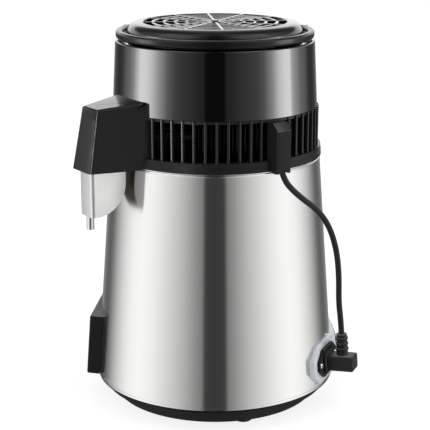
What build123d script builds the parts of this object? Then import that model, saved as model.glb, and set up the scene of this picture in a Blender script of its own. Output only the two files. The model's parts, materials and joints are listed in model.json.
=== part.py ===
from build123d import *
import math
import os

os.makedirs("parts", exist_ok=True)

# Clearances
seat_gap = 0.1
slip_gap = 0.3
shaft_gap = 0.05
cut_overrun = 2.0

# Steel body: a thin cone that narrows upwards
shell_foot_radius = 114.6
shell_top_radius = 98.4
shell_foot_z = 23.0
body_height = 213.6
shell_top_z = shell_foot_z + body_height
shell_wall = 0.8
hem_height = 2.2
hem_proud = 0.4
hem_top_z = shell_foot_z + hem_height
rim_bead_radius = 1.0

# Base pan and feet
foot_height = 4.2
foot_radius = 8.0
foot_stem_radius = 3.0
foot_inset = 13.0
foot_count = 4
foot_start_angle = -16.0
pan_wall = 2.5
pan_foot_inset = 17.6
pan_waist_inset = 11.6
pan_shoulder_inset = 7.1
pan_foot_radius = shell_foot_radius - pan_foot_inset
pan_waist_radius = shell_foot_radius - pan_waist_inset
pan_shoulder_radius = shell_foot_radius - pan_shoulder_inset
foot_circle_radius = pan_foot_radius - foot_inset
pan_waist_rise = 8.3
pan_waist_z = foot_height + pan_waist_rise
pan_floor_top_z = foot_height + pan_wall
pan_groove = 1.2
pan_lip_height = 2.0
pan_upstand = 7.0
pan_slot_length = 30.0
pan_slot_width = 4.0
pan_slot_circle_share = 0.474
pan_slot_circle_radius = pan_slot_circle_share * pan_foot_radius
pan_slot_count = 6

# Boiling pot, about four litres, and its heater
pot_inset = 9.6
pot_wall = 0.8
pot_corner_radius = 12.0
pot_flange_inset = 0.4
pot_radius = shell_top_radius - pot_inset
pot_flange_radius = shell_top_radius - pot_flange_inset
pot_top_z = shell_top_z + pot_wall
heater_inset = 18.8
heater_thickness = 6.0
heater_radius = pot_radius - heater_inset
element_ring_share = 0.714
element_ring_radius = element_ring_share * heater_radius
element_tube_radius = 4.0
element_arc = 300.0
element_start_angle = 30.0
terminal_radius = 2.6
terminal_length = 16.0
thermostat_radius = 12.0
thermostat_height = 12.0
cutout_radius = 9.0
cutout_height = 10.0
cutout_share = 0.4
cutout_offset = cutout_share * heater_radius
standoff_radius = 4.0
standoff_inset = 8.0
standoff_circle_radius = heater_radius - standoff_inset
standoff_count = 3

# Control box on the front of the base, and its start button
box_angle = -129.0
box_width = 73.0
box_height = 58.5
box_proud = 6.9
box_rise = 29.8
box_mid_z = shell_foot_z + box_rise
box_depth = 22.0
box_wall = 2.0
box_edge_radius = 1.6
button_radius = 9.0
button_proud = 2.4
button_flange = 1.2
button_flange_thickness = 2.0
button_stem_radius = 3.0
button_stem_length = 10.0
button_edge_radius = 0.8
collar_wall = 2.0
collar_length = 11.0
collar_bore_radius = button_radius + button_flange + slip_gap
collar_radius = collar_bore_radius + collar_wall
switch_height = 9.0
pot_lift = 1.7
pot_floor_z = box_mid_z + collar_radius + pot_lift
heater_foot_z = pot_floor_z - heater_thickness
lens_radius = 2.6
lens_proud = 0.8
lens_rise = 18.0

# Two mains sockets on the back of the base
socket_proud = 2.0
socket_rise = 23.0
socket_mid_z = shell_foot_z + socket_rise
mains_angle = 72.0
fan_feed_angle = 32.5
flange_width = 50.0
flange_height = 26.4
flange_chamfer_width = 11.6
flange_chamfer_height = 9.4
flange_seat = 0.8
flange_proud = 2.6
rim_proud = 1.4
bezel_side = 5.5
bezel_edge = 5.7
bezel_width = flange_width + 2 * bezel_side
bezel_height = flange_height + 2 * bezel_edge
bezel_chamfer_width = 11.7
bezel_chamfer_height = 12.2
bezel_depth = 20.0
bezel_edge_radius = 1.2
inlet_width = 28.0
inlet_height = 20.4
inlet_corner_radius = 3.0
inlet_depth = 20.0
recess_width = 24.4
recess_height = 16.8
recess_corner = 4.6
recess_depth = 16.0
contact_count = 3
contact_width = 2.0
contact_height = 4.0
contact_length = 10.4
contact_pitch = 7.0
contact_drop = 2.0

# Right-angled plug on the fan lead
plug_width = 19.0
plug_height = 14.6
plug_length = 24.6
plug_end_width = 17.6
plug_corner_radius = 2.2
plug_edge_radius = 1.4
plug_drop = 1.4
boot_out = 12.6
boot_foot_radius = 5.5
boot_top_radius = 5.0
boot_height = 20.3
boot_rib_count = 3
boot_rib_proud = 0.7
boot_rib_height = 1.8

# Fan lead: its turn round the body, its fall and its distance from the steel, from the guard to the plug
cord_radius = 2.75
cord_inset = 4.2
cord_sink = 2.4
cord_last_run = 12.4
cord_turn_shares = (0.058, 0.187, 0.371, 0.568, 0.717, 0.823, 0.898, 0.935, 0.943)
cord_drop_shares = (0.057, 0.112, 0.172, 0.232, 0.302, 0.391, 0.517, 0.663, 0.804)
cord_wall_gaps = (5.6, 6.0, 7.9, 11.8, 15.7, 18.9, 20.9, 20.6, 18.9)
cord_bend_share = 0.45

# Vented ring at the bottom of the head
ring_proud = 1.2
ring_wall = 6.4
ring_height = 9.3
ring_step = 0.6
ring_step_share = 0.5
ring_radius = shell_top_radius + ring_proud
ring_inner_radius = ring_radius - ring_wall
head_foot_z = pot_top_z + slip_gap
bar_foot_z = head_foot_z + ring_height
bar_count = 60
bar_start_angle = 3.0
bar_thickness = 2.6
bar_inset = 3.0
bar_outer_radius = ring_radius - bar_inset
bar_depth = 4.2
vent_height = 36.4
vent_top_z = bar_foot_z + vent_height
top_ring_height = 2.4
top_ring_width = 11.6
top_ring_inner_radius = ring_radius - top_ring_width
lid_ledge_width = 8.2
lid_ledge_inner_radius = ring_inner_radius - lid_ledge_width
lid_ledge_height = 2.5
spout_clear_angle = 15.0
guard_clear_angle = 5.0

# Lid of the pot, carried under the vented ring
lid_thickness = 1.0
lid_radius = ring_inner_radius - slip_gap - seat_gap
lid_skirt_gap = 1.5
lid_skirt_radius = pot_radius - pot_wall - lid_skirt_gap
lid_skirt_depth = 8.0
gasket_height = 2.8
gasket_gap = 0.7
gasket_inner_radius = lid_skirt_radius + gasket_gap
gasket_foot_z = head_foot_z
lid_foot_z = gasket_foot_z + gasket_height
lid_top_z = lid_foot_z + lid_thickness

# Finned condenser: one bent tube with plate fins
tube_radius = 4.75
tube_wall = 0.8
tube_rise = 18.5
tube_z = bar_foot_z + tube_rise
tube_inset = 20.2
tube_ring_radius = ring_inner_radius - tube_inset
tube_bend_radius = 18.0
riser_bend_radius = 14.0
spout_bend_radius = 11.0
feed_angle = -70.0
tube_foot_drop = 3.0
fin_width = 26.0
fin_height = 30.0
fin_chamfer = 5.0
fin_thickness = 0.8
fin_pitch_angle = 6.0
fin_margin_angle = 5.0

# Upper housing and its spout
housing_inset = 4.6
housing_taper = 3.0
housing_height = 60.2
housing_foot_radius = ring_radius - housing_inset
housing_top_radius = housing_foot_radius - housing_taper
housing_top_z = vent_top_z + housing_height
housing_wall = 2.5
housing_edge = 1.4
deck_width = 24.0
deck_hole_radius = housing_top_radius - deck_width
deck_foot_z = housing_top_z - housing_wall
spout_wall = 2.2
spout_drop = 1.2
spout_foot_z = head_foot_z - spout_drop
spout_foot_width = 33.0
spout_top_width = 27.0
spout_root_foot_width = 59.0
spout_root_top_width = 54.0
spout_proud = 43.4
spout_lean = 10.0
spout_foot_reach = ring_radius + spout_proud
spout_top_reach = spout_foot_reach - spout_lean
spout_rise = 8.6
spout_slope = 5.0
spout_front_z = vent_top_z + spout_rise
spout_back_z = spout_front_z + spout_slope
spout_sink = 8.0
spout_root = housing_foot_radius - spout_sink
spout_corner_radius = 4.0
spout_floor = 2.6

# Cord guard on the side of the head
guard_angle = 0.0
guard_width = 15.0
guard_proud = 8.9
guard_drop = 1.3
guard_reach = ring_radius + guard_proud
guard_foot_z = head_foot_z - guard_drop
guard_top_gap = 2.4
guard_top_z = vent_top_z - guard_top_gap
guard_chamfer = 7.0
guard_edge_radius = 1.5
guard_mouth_radius = 5.2
guard_throat_radius = 3.4
guard_mouth_depth = 6.0

# Grille cover over the fan
cover_inset = 11.0
cover_wall = 2.6
cover_height = 16.0
cover_shoulder_radius = 9.0
cover_fall = 2.2
cover_radius = housing_top_radius - cover_inset
cover_top_z = housing_top_z + cover_height
grille_inset = 15.0
grille_radius = cover_radius - grille_inset
grille_thickness = 2.4
grille_rings = 5
grille_first_ring = 16.4
grille_pitch_share = 0.2056
grille_ring_pitch = grille_pitch_share * (grille_radius - grille_first_ring)
grille_ring_width = 3.0
grille_hub_radius = 6.0
grille_hub_height = 1.0
spoke_count = 8
spoke_start_angle = -24.0
spoke_width = 2.4

# Fan, its motor and the bracket
bracket_thickness = 2.5
bracket_arm_width = 14.0
bracket_arm_count = 3
bracket_hub_radius = 24.0
bracket_inset = 8.0
bracket_reach = housing_top_radius - bracket_inset
motor_radius = 22.0
motor_height = 22.0
motor_top_z = deck_foot_z - bracket_thickness
motor_foot_z = motor_top_z - motor_height
shaft_radius = 2.5
shaft_depth_in_motor = 14.0
rotor_gap = 3.0
rotor_hub_radius = 13.0
rotor_hub_height = 13.0
rotor_top_z = motor_foot_z - rotor_gap
rotor_foot_z = rotor_top_z - rotor_hub_height
rotor_blade_count = 5
rotor_blade_gap = 8.0
rotor_blade_reach = deck_hole_radius - rotor_blade_gap
rotor_blade_root_width = 18.0
rotor_blade_tip_width = 34.0
rotor_blade_thickness = 1.6
rotor_blade_root_pitch = 38.0
rotor_blade_tip_pitch = 20.0

# Carrying handle: a bail that lies round the cover
handle_angle = -35.0
handle_cover_gap = 4.0
handle_width = 6.3
handle_height = 7.6
handle_gap = 1.4
handle_inner_radius = cover_radius + handle_cover_gap
handle_outer_radius = handle_inner_radius + handle_width
handle_mid_radius = (handle_inner_radius + handle_outer_radius) / 2
handle_mid_z = housing_top_z + handle_gap + handle_height / 2
handle_corner_radius = 2.6
handle_half_arc = 110.0
eye_radius = 3.9
eye_half_length = 3.6
pin_radius = 2.0
pin_head_radius = 3.2
pin_head_thickness = 1.2
pin_grip = 6.0

# Spout cup with the carbon filter, and its nozzle
cup_half_width = 11.4
cup_inset = 4.4
cup_length = 34.6
cup_drop = 41.5
cup_rise = 6.5
cup_front = spout_foot_reach - cup_inset
cup_back = cup_front - cup_length
cup_foot_z = spout_foot_z - cup_drop
cup_top_z = spout_foot_z + cup_rise
cup_heel_radius = 29.0
cup_wall = 0.8
cup_edge_radius = 3.6
filter_height = 31.0
filter_top_z = cup_foot_z + filter_height
nozzle_radius = 3.5
nozzle_bore_radius = 2.5
nozzle_inset = 4.1
nozzle_length = 12.7
nozzle_reach = cup_front - nozzle_inset
nozzle_tip_z = cup_foot_z - nozzle_length

shell_lean = math.atan2(shell_foot_radius - shell_top_radius, shell_top_z - shell_foot_z)


def shell_radius(z):
    """Outer radius of the steel body at a height."""
    height_share = (z - shell_foot_z) / (shell_top_z - shell_foot_z)
    return shell_foot_radius + height_share * (shell_top_radius - shell_foot_radius)


def wall_plane(angle, distance, height):
    """Plane that leans with the steel body: x runs round it, y up it and z out of it."""
    turn = math.radians(angle)
    level = math.cos(shell_lean)
    outward = (math.cos(turn) * level, math.sin(turn) * level, math.sin(shell_lean))
    middle = (distance * math.cos(turn), distance * math.sin(turn), height)
    return Plane(origin=middle, x_dir=(-math.sin(turn), math.cos(turn), 0), z_dir=outward)


def polar(radius, angle):
    """Point in plan at a radius and an angle in degrees."""
    return (radius * math.cos(math.radians(angle)), radius * math.sin(math.radians(angle)))


def save(piece, name):
    """Label a finished piece and write it."""
    piece.part.label = name
    export_step(piece.part, f"parts/{name}.step")


def octagon(width, height, chamfer_width, chamfer_height):
    """Rectangle with its corners cut off."""
    x = width / 2
    y = height / 2
    with BuildSketch() as shape:
        with BuildLine():
            Polyline(
                (-x, -y + chamfer_height),
                (-x + chamfer_width, -y),
                (x - chamfer_width, -y),
                (x, -y + chamfer_height),
                (x, y - chamfer_height),
                (x - chamfer_width, y),
                (-x + chamfer_width, y),
                (-x, y - chamfer_height),
                close=True,
            )
        make_face()
    return shape.sketch


# Solid inside of the steel body, which trims what is mounted on it
with BuildPart() as body_core:
    with BuildSketch(Plane.XZ):
        with BuildLine():
            Polyline(
                (0, 0),
                (shell_foot_radius + hem_proud + seat_gap, 0),
                (shell_foot_radius + hem_proud + seat_gap, hem_top_z + seat_gap),
                (shell_radius(hem_top_z) + seat_gap, hem_top_z + seat_gap),
                (shell_top_radius + seat_gap, shell_top_z),
                (0, shell_top_z),
                close=True,
            )
        make_face()
    revolve(axis=Axis.Z)

# Base pan: a stepped black dish that carries the steel body
with BuildPart() as base_pan:
    lip_radius = shell_foot_radius - shell_wall / 2
    lip_foot_z = shell_foot_z - pan_lip_height
    upstand_z = shell_foot_z + pan_upstand
    upstand_radius = shell_radius(upstand_z) - shell_wall - slip_gap
    groove_radius = pan_waist_radius - pan_groove
    groove_top_z = pan_waist_z + pan_groove
    with BuildSketch(Plane.XZ):
        with BuildLine():
            Polyline(
                (0, foot_height),
                (pan_foot_radius, foot_height),
                (pan_waist_radius, pan_waist_z),
                (groove_radius, pan_waist_z),
                (groove_radius, groove_top_z),
                (pan_shoulder_radius, groove_top_z),
                (lip_radius - pan_wall, lip_foot_z),
                (lip_radius, lip_foot_z),
                (lip_radius, shell_foot_z),
                (upstand_radius, shell_foot_z),
                (upstand_radius, upstand_z),
                (upstand_radius - pan_wall, upstand_z),
                (upstand_radius - pan_wall, lip_foot_z),
                (groove_radius - pan_wall, groove_top_z + pan_wall),
                (groove_radius - pan_wall, pan_waist_z),
                (pan_foot_radius - pan_wall, pan_floor_top_z),
                (0, pan_floor_top_z),
                close=True,
            )
        make_face()
    revolve(axis=Axis.Z)
    with BuildSketch(Plane.XY.offset(foot_height)):
        with PolarLocations(foot_circle_radius, foot_count, start_angle=foot_start_angle):
            Circle(foot_stem_radius + seat_gap)
        with PolarLocations(pan_slot_circle_radius, pan_slot_count):
            SlotOverall(pan_slot_length, pan_slot_width, rotation=90)
    extrude(amount=pan_wall, mode=Mode.SUBTRACT)
save(base_pan, "base_pan")

# Rubber feet, each with a stem through the pan
for number in range(foot_count):
    foot_angle = foot_start_angle + number * 360 / foot_count
    with BuildPart() as rubber_foot:
        with BuildSketch():
            with Locations(polar(foot_circle_radius, foot_angle)):
                Circle(foot_radius)
        extrude(amount=foot_height)
        with BuildSketch(Plane.XY.offset(foot_height)):
            with Locations(polar(foot_circle_radius, foot_angle)):
                Circle(foot_stem_radius)
        extrude(amount=pan_wall)
    save(rubber_foot, f"rubber_foot_{number + 1}")

# Planes of the parts mounted on the steel body
socket_distance = shell_radius(socket_mid_z) + socket_proud
box_plane = wall_plane(box_angle, shell_radius(box_mid_z) + box_proud, box_mid_z)
socket_planes = {
    "mains": wall_plane(mains_angle, socket_distance, socket_mid_z),
    "fan_feed": wall_plane(fan_feed_angle, socket_distance, socket_mid_z),
}
socket_faces = {name: plane.offset(flange_proud) for name, plane in socket_planes.items()}

# Steel body with a hem, a rolled rim and the holes behind the sockets and the button
with BuildPart() as outer_shell:
    with BuildSketch(Plane.XZ):
        with BuildLine():
            Polyline(
                (shell_foot_radius - shell_wall, shell_foot_z),
                (shell_foot_radius + hem_proud, shell_foot_z),
                (shell_foot_radius + hem_proud, hem_top_z),
                (shell_radius(hem_top_z), hem_top_z),
                (shell_top_radius, shell_top_z),
                (shell_top_radius - shell_wall, shell_top_z),
                close=True,
            )
        make_face()
        with Locations((shell_top_radius - shell_wall / 2, shell_top_z - rim_bead_radius)):
            Circle(rim_bead_radius)
    revolve(axis=Axis.Z)
    for plane in socket_planes.values():
        with BuildSketch(plane):
            Rectangle(inlet_width + 2 * slip_gap, inlet_height + 2 * slip_gap)
        extrude(amount=-inlet_depth - cut_overrun, mode=Mode.SUBTRACT)
    with BuildSketch(box_plane):
        Circle(collar_radius + slip_gap)
    extrude(amount=-box_depth, mode=Mode.SUBTRACT)
save(outer_shell, "outer_shell")

# Boiling pot, hung by its flange on the rim of the steel body
with BuildPart() as boiling_pot:
    with BuildSketch(Plane.XY.offset(pot_floor_z)):
        Circle(pot_radius)
    extrude(amount=pot_top_z - pot_floor_z)
    fillet(boiling_pot.edges().group_by(Axis.Z)[0], radius=pot_corner_radius)
    offset(amount=-pot_wall, openings=boiling_pot.faces().sort_by(Axis.Z)[-1])
    with BuildSketch(Plane.XY.offset(shell_top_z)):
        Circle(pot_flange_radius)
        Circle(pot_radius - pot_wall / 2, mode=Mode.SUBTRACT)
    extrude(amount=pot_wall)
save(boiling_pot, "boiling_pot")

# Heater plate under the pot
with BuildPart() as heater_plate:
    with BuildSketch(Plane.XY.offset(heater_foot_z)):
        Circle(heater_radius)
    extrude(amount=heater_thickness)
save(heater_plate, "heater_plate")

# Heating element: an open ring with two terminals that point down
with BuildPart() as heating_element:
    element_z = heater_foot_z - element_tube_radius - seat_gap
    turn = math.radians(element_start_angle)
    ring_plane = Plane(
        origin=(0, 0, 0),
        x_dir=(math.cos(turn), math.sin(turn), 0),
        z_dir=(math.sin(turn), -math.cos(turn), 0),
    )
    with BuildSketch(ring_plane):
        with Locations((element_ring_radius, element_z)):
            Circle(element_tube_radius)
    revolve(axis=Axis.Z, revolution_arc=element_arc)
    inset_angle = math.degrees(terminal_radius / element_ring_radius)
    with BuildSketch(Plane.XY.offset(element_z)):
        for angle in (inset_angle, element_arc - inset_angle):
            with Locations(polar(element_ring_radius, element_start_angle + angle)):
                Circle(terminal_radius)
    extrude(amount=-terminal_length)
save(heating_element, "heating_element")

# Boil-dry thermostat and overheat cut-out, clamped to the plate
with BuildPart() as boil_dry_thermostat:
    with BuildSketch(Plane.XY.offset(heater_foot_z)):
        Circle(thermostat_radius)
    extrude(amount=-thermostat_height)
save(boil_dry_thermostat, "boil_dry_thermostat")

with BuildPart() as overheat_cutout:
    with BuildSketch(Plane.XY.offset(heater_foot_z)):
        with Locations((cutout_offset, 0)):
            Circle(cutout_radius)
    extrude(amount=-cutout_height)
save(overheat_cutout, "overheat_cutout")

# Posts that tie the heater plate to the pan
for number in range(standoff_count):
    with BuildPart() as standoff:
        with BuildSketch(Plane.XY.offset(pan_floor_top_z)):
            with Locations(polar(standoff_circle_radius, number * 360 / standoff_count)):
                Circle(standoff_radius)
        extrude(amount=heater_foot_z - pan_floor_top_z)
    save(standoff, f"standoff_{number + 1}")

# Control box: a hollow black housing with a guide collar for the button
with BuildPart() as control_box:
    with BuildSketch(box_plane):
        Rectangle(box_width, box_height)
    extrude(amount=-box_depth)
    box_front = control_box.faces().sort_by(Axis(box_plane.origin, box_plane.z_dir))[-1]
    fillet(box_front.edges(), radius=box_edge_radius)
    with BuildSketch(box_plane.offset(-box_wall)):
        Rectangle(box_width - 2 * box_wall, box_height - 2 * box_wall)
    extrude(amount=-box_depth, mode=Mode.SUBTRACT)
    add(body_core.part, mode=Mode.SUBTRACT)
    with BuildSketch(box_plane.offset(-box_wall)):
        Circle(collar_radius)
    extrude(amount=-collar_length)
    with BuildSketch(box_plane.offset(-box_wall)):
        Circle(collar_bore_radius)
    extrude(amount=-collar_length, mode=Mode.SUBTRACT)
    with BuildSketch(box_plane):
        Circle(button_radius + slip_gap)
        with Locations((0, lens_rise)):
            Circle(lens_radius + seat_gap)
    extrude(amount=-box_wall, mode=Mode.SUBTRACT)
save(control_box, "control_box")

# Start button: a cap, a flange that keeps it in, and a stem into the switch
with BuildPart() as start_button:
    flange_front = -box_wall - slip_gap
    with BuildSketch(box_plane.offset(flange_front)):
        Circle(button_radius)
    extrude(amount=button_proud - flange_front)
    cap_front = start_button.faces().sort_by(Axis(box_plane.origin, box_plane.z_dir))[-1]
    fillet(cap_front.edges(), radius=button_edge_radius)
    with BuildSketch(box_plane.offset(flange_front)):
        Circle(button_radius + button_flange)
    extrude(amount=-button_flange_thickness)
    with BuildSketch(box_plane.offset(flange_front - button_flange_thickness)):
        Circle(button_stem_radius)
    extrude(amount=-button_stem_length)
save(start_button, "start_button")

# Switch that closes the collar, with a hole that the stem slides in
with BuildPart() as button_switch:
    with BuildSketch(box_plane.offset(-box_wall - collar_length)):
        Circle(collar_radius)
        Circle(button_stem_radius + slip_gap, mode=Mode.SUBTRACT)
    extrude(amount=-switch_height)
save(button_switch, "button_switch")

# Indicator lens above the button
with BuildPart() as indicator_lens:
    with BuildSketch(box_plane.offset(-box_wall)):
        with Locations((0, lens_rise)):
            Circle(lens_radius)
    extrude(amount=box_wall + lens_proud)
save(indicator_lens, "indicator_lens")

# Sockets: a pale bezel that fits the round body, and a flanged black insert
for name, plane in socket_planes.items():
    with BuildPart() as bezel:
        with BuildSketch(plane):
            add(octagon(bezel_width, bezel_height, bezel_chamfer_width, bezel_chamfer_height))
        extrude(amount=-bezel_depth)
        bezel_front = bezel.faces().sort_by(Axis(plane.origin, plane.z_dir))[-1]
        fillet(bezel_front.edges(), radius=bezel_edge_radius)
        with BuildSketch(plane):
            add(octagon(
                flange_width + 2 * seat_gap,
                flange_height + 2 * seat_gap,
                flange_chamfer_width,
                flange_chamfer_height,
            ))
        extrude(amount=-flange_seat, mode=Mode.SUBTRACT)
        with BuildSketch(plane):
            Rectangle(inlet_width + 2 * slip_gap, inlet_height + 2 * slip_gap)
        extrude(amount=-bezel_depth, mode=Mode.SUBTRACT)
        add(body_core.part, mode=Mode.SUBTRACT)
    save(bezel, f"{name}_bezel")

    with BuildPart() as socket:
        face = socket_faces[name]
        with BuildSketch(face):
            add(octagon(flange_width, flange_height, flange_chamfer_width, flange_chamfer_height))
        extrude(amount=-flange_proud - flange_seat)
        with BuildSketch(face.offset(rim_proud)):
            RectangleRounded(inlet_width, inlet_height, inlet_corner_radius)
        extrude(amount=-rim_proud - flange_proud - inlet_depth)
        with BuildSketch(face.offset(rim_proud)) as mouth:
            Rectangle(recess_width, recess_height)
            chamfer(mouth.vertices().group_by(Axis.Y)[-1], length=recess_corner)
        extrude(amount=-rim_proud - recess_depth, mode=Mode.SUBTRACT)
    save(socket, f"{name}_socket")

# Contact blades in the mains socket
for number in range(contact_count):
    with BuildPart() as contact_blade:
        contact_rise = contact_drop if number == 1 else -contact_drop
        with BuildSketch(socket_faces["mains"].offset(-recess_depth)):
            with Locations(((number - 1) * contact_pitch, contact_rise)):
                Rectangle(contact_width, contact_height)
        extrude(amount=contact_length)
    save(contact_blade, f"contact_blade_{number + 1}")

# Right-angled plug in the fan socket: nose, tapered body and an upright ribbed boot
plug_plane = socket_faces["fan_feed"].offset(rim_proud)
boot_plane = Plane(
    origin=plug_plane.from_local_coords((0, plug_height / 2 - plug_drop, boot_out)),
    x_dir=plug_plane.x_dir,
    z_dir=plug_plane.y_dir,
)
with BuildPart() as jumper_plug:
    with BuildSketch(plug_plane.offset(seat_gap)) as nose:
        Rectangle(recess_width - 2 * slip_gap, recess_height - 2 * slip_gap)
        chamfer(nose.vertices().group_by(Axis.Y)[-1], length=recess_corner)
    extrude(amount=slip_gap - recess_depth)
    with BuildSketch(plug_plane.offset(seat_gap)):
        with Locations((0, -plug_drop)):
            RectangleRounded(plug_width, plug_height, plug_corner_radius)
    with BuildSketch(plug_plane.offset(plug_length)):
        with Locations((0, -plug_drop)):
            RectangleRounded(plug_end_width, plug_height, plug_corner_radius)
    loft()
    plug_end = jumper_plug.faces().sort_by(Axis(plug_plane.origin, plug_plane.z_dir))[-1]
    fillet(plug_end.edges(), radius=plug_edge_radius)
    with BuildSketch(boot_plane.offset(-plug_corner_radius)):
        Circle(boot_foot_radius)
    with BuildSketch(boot_plane.offset(boot_height)):
        Circle(boot_top_radius)
    loft()
    for number in range(boot_rib_count):
        rib_share = (number + 1) / (boot_rib_count + 1)
        rib_radius = boot_foot_radius + rib_share * (boot_top_radius - boot_foot_radius)
        with BuildSketch(boot_plane.offset(rib_share * boot_height)):
            Circle(rib_radius + boot_rib_proud)
        extrude(amount=boot_rib_height)
save(jumper_plug, "jumper_plug")

# Fan lead from the guard on the head to the boot of the plug
cord_end = boot_plane.from_local_coords((0, 0, boot_height))
cord_before_end = boot_plane.from_local_coords((0, 0, boot_height + cord_last_run))
cord_route = [Vector(*polar(guard_reach - cord_inset, guard_angle), guard_foot_z + cord_sink)]
cord_fall = cord_route[0].Z - cord_end.Z
for turn_share, drop_share, wall_gap in zip(cord_turn_shares, cord_drop_shares, cord_wall_gaps):
    point_z = cord_route[0].Z - drop_share * cord_fall
    point_angle = guard_angle + turn_share * (fan_feed_angle - guard_angle)
    cord_route.append(Vector(*polar(shell_radius(point_z) + wall_gap, point_angle), point_z))
cord_route += [cord_before_end, cord_end]
cord_radii = []
for before, here, after in zip(cord_route, cord_route[1:], cord_route[2:]):
    half_turn = math.radians((here - before).get_angle(after - here)) / 2
    shorter_run = min((here - before).length, (after - here).length)
    cord_radii.append(cord_bend_share * shorter_run / math.tan(half_turn))
print("cord bend radii", [round(radius, 1) for radius in cord_radii])
with BuildPart() as jumper_cord:
    with BuildLine() as cord_path:
        FilletPolyline(*cord_route, radius=cord_radii)
    with BuildSketch(Plane(origin=cord_route[0], z_dir=cord_route[1] - cord_route[0])):
        Circle(cord_radius)
    sweep(path=cord_path.wires()[0])
cord_length = cord_path.wires()[0].length
print("cord length", round(cord_length, 1), "tube volume", round(jumper_cord.part.volume, 1),
      "section times length", round(math.pi * cord_radius ** 2 * cord_length, 1))
save(jumper_cord, "jumper_cord")


# Spout housing: one tapered block with a sloping roof, cut at the parting line
def spout_block(wall):
    """Tapered spout block, wider at its root, drawn in from its outside by a wall."""
    with BuildPart() as block:
        height = spout_front_z - spout_foot_z
        rise_share = (spout_back_z - spout_foot_z) / height
        levels = (
            (spout_foot_z, spout_foot_reach, spout_foot_width, spout_root_foot_width),
            (
                spout_back_z,
                spout_foot_reach - rise_share * (spout_foot_reach - spout_top_reach),
                spout_foot_width - rise_share * (spout_foot_width - spout_top_width),
                spout_root_foot_width - rise_share * (spout_root_foot_width - spout_root_top_width),
            ),
        )
        for level, reach, width, root_width in levels:
            tip = width / 2 - wall
            root = root_width / 2 - wall
            with BuildSketch(Plane.XY.offset(level)):
                with BuildLine():
                    Polyline((-root, -spout_root), (-tip, wall - reach), (tip, wall - reach),
                             (root, -spout_root), close=True)
                make_face()
        loft()
        if wall == 0:
            fillet(block.faces().sort_by(Axis.Y)[0].edges().group_by(SortBy.LENGTH)[-1],
                   radius=spout_corner_radius)
        slope = math.atan2(spout_back_z - spout_front_z, spout_top_reach - spout_root)
        roof = Plane(
            origin=(0, -spout_top_reach, spout_front_z - wall),
            x_dir=(1, 0, 0),
            z_dir=(0, -math.sin(slope), math.cos(slope)),
        )
        split(bisect_by=roof, keep=Keep.BOTTOM)
    return block.part


spout_outside = spout_block(0)
spout_inside = spout_block(spout_wall)

# Vented ring: lower ring, upright bars, top ring and the lower half of the spout
with BuildPart() as vent_ring:
    add(spout_outside.split(Plane.XY.offset(vent_top_z), keep=Keep.BOTTOM))
    add(spout_inside.split(Plane.XY.offset(spout_foot_z + spout_floor), keep=Keep.TOP), mode=Mode.SUBTRACT)
    with BuildSketch(Plane.XY.offset(spout_foot_z)):
        with Locations((0, -(cup_front + cup_back) / 2)):
            Rectangle(2 * (cup_half_width + slip_gap), cup_front - cup_back + 2 * slip_gap)
        Circle(ring_radius)
    extrude(amount=spout_floor, mode=Mode.SUBTRACT)
    with BuildSketch(Plane.XY.offset(head_foot_z)):
        Circle(ring_inner_radius)
    extrude(amount=lid_top_z - head_foot_z, mode=Mode.SUBTRACT)
    with BuildSketch(Plane.XY.offset(head_foot_z)):
        Circle(ring_radius - ring_step)
        Circle(ring_inner_radius, mode=Mode.SUBTRACT)
    extrude(amount=ring_height)
    with BuildSketch(Plane.XY.offset(head_foot_z)):
        Circle(ring_radius)
        Circle(ring_inner_radius, mode=Mode.SUBTRACT)
    extrude(amount=ring_step_share * ring_height)
    with BuildSketch(Plane.XY.offset(lid_top_z)):
        Circle(ring_inner_radius)
        Circle(lid_ledge_inner_radius, mode=Mode.SUBTRACT)
    extrude(amount=lid_ledge_height)
    with BuildSketch(Plane.XY.offset(vent_top_z - top_ring_height)):
        Circle(housing_foot_radius)
        Circle(top_ring_inner_radius, mode=Mode.SUBTRACT)
    extrude(amount=top_ring_height)
    with BuildSketch(Plane.XY.offset(bar_foot_z)):
        for number in range(bar_count):
            bar_angle = bar_start_angle + number * 360 / bar_count
            from_spout = abs((bar_angle + 90 + 180) % 360 - 180)
            from_guard = abs((bar_angle - guard_angle + 180) % 360 - 180)
            if from_spout > spout_clear_angle and from_guard > guard_clear_angle:
                with PolarLocations(bar_outer_radius - bar_depth / 2, 1, start_angle=bar_angle):
                    Rectangle(bar_depth, bar_thickness)
    extrude(amount=vent_top_z - bar_foot_z)
save(vent_ring, "vent_ring")

# Lid of the pot: a steel plate with a skirt, and its silicone gasket
with BuildPart() as lid_plate:
    with BuildSketch(Plane.XY.offset(lid_foot_z)):
        Circle(lid_radius)
    extrude(amount=lid_thickness)
    with BuildSketch(Plane.XY.offset(lid_foot_z)):
        Circle(lid_skirt_radius)
        Circle(lid_skirt_radius - lid_thickness, mode=Mode.SUBTRACT)
    extrude(amount=-lid_skirt_depth)
    with BuildSketch(Plane.XY.offset(lid_foot_z)):
        Circle(tube_radius + seat_gap)
    extrude(amount=lid_thickness, mode=Mode.SUBTRACT)
save(lid_plate, "lid_plate")

with BuildPart() as lid_gasket:
    with BuildSketch(Plane.XY.offset(gasket_foot_z)):
        Circle(lid_radius)
        Circle(gasket_inner_radius, mode=Mode.SUBTRACT)
    extrude(amount=gasket_height)
save(lid_gasket, "lid_gasket")

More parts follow.
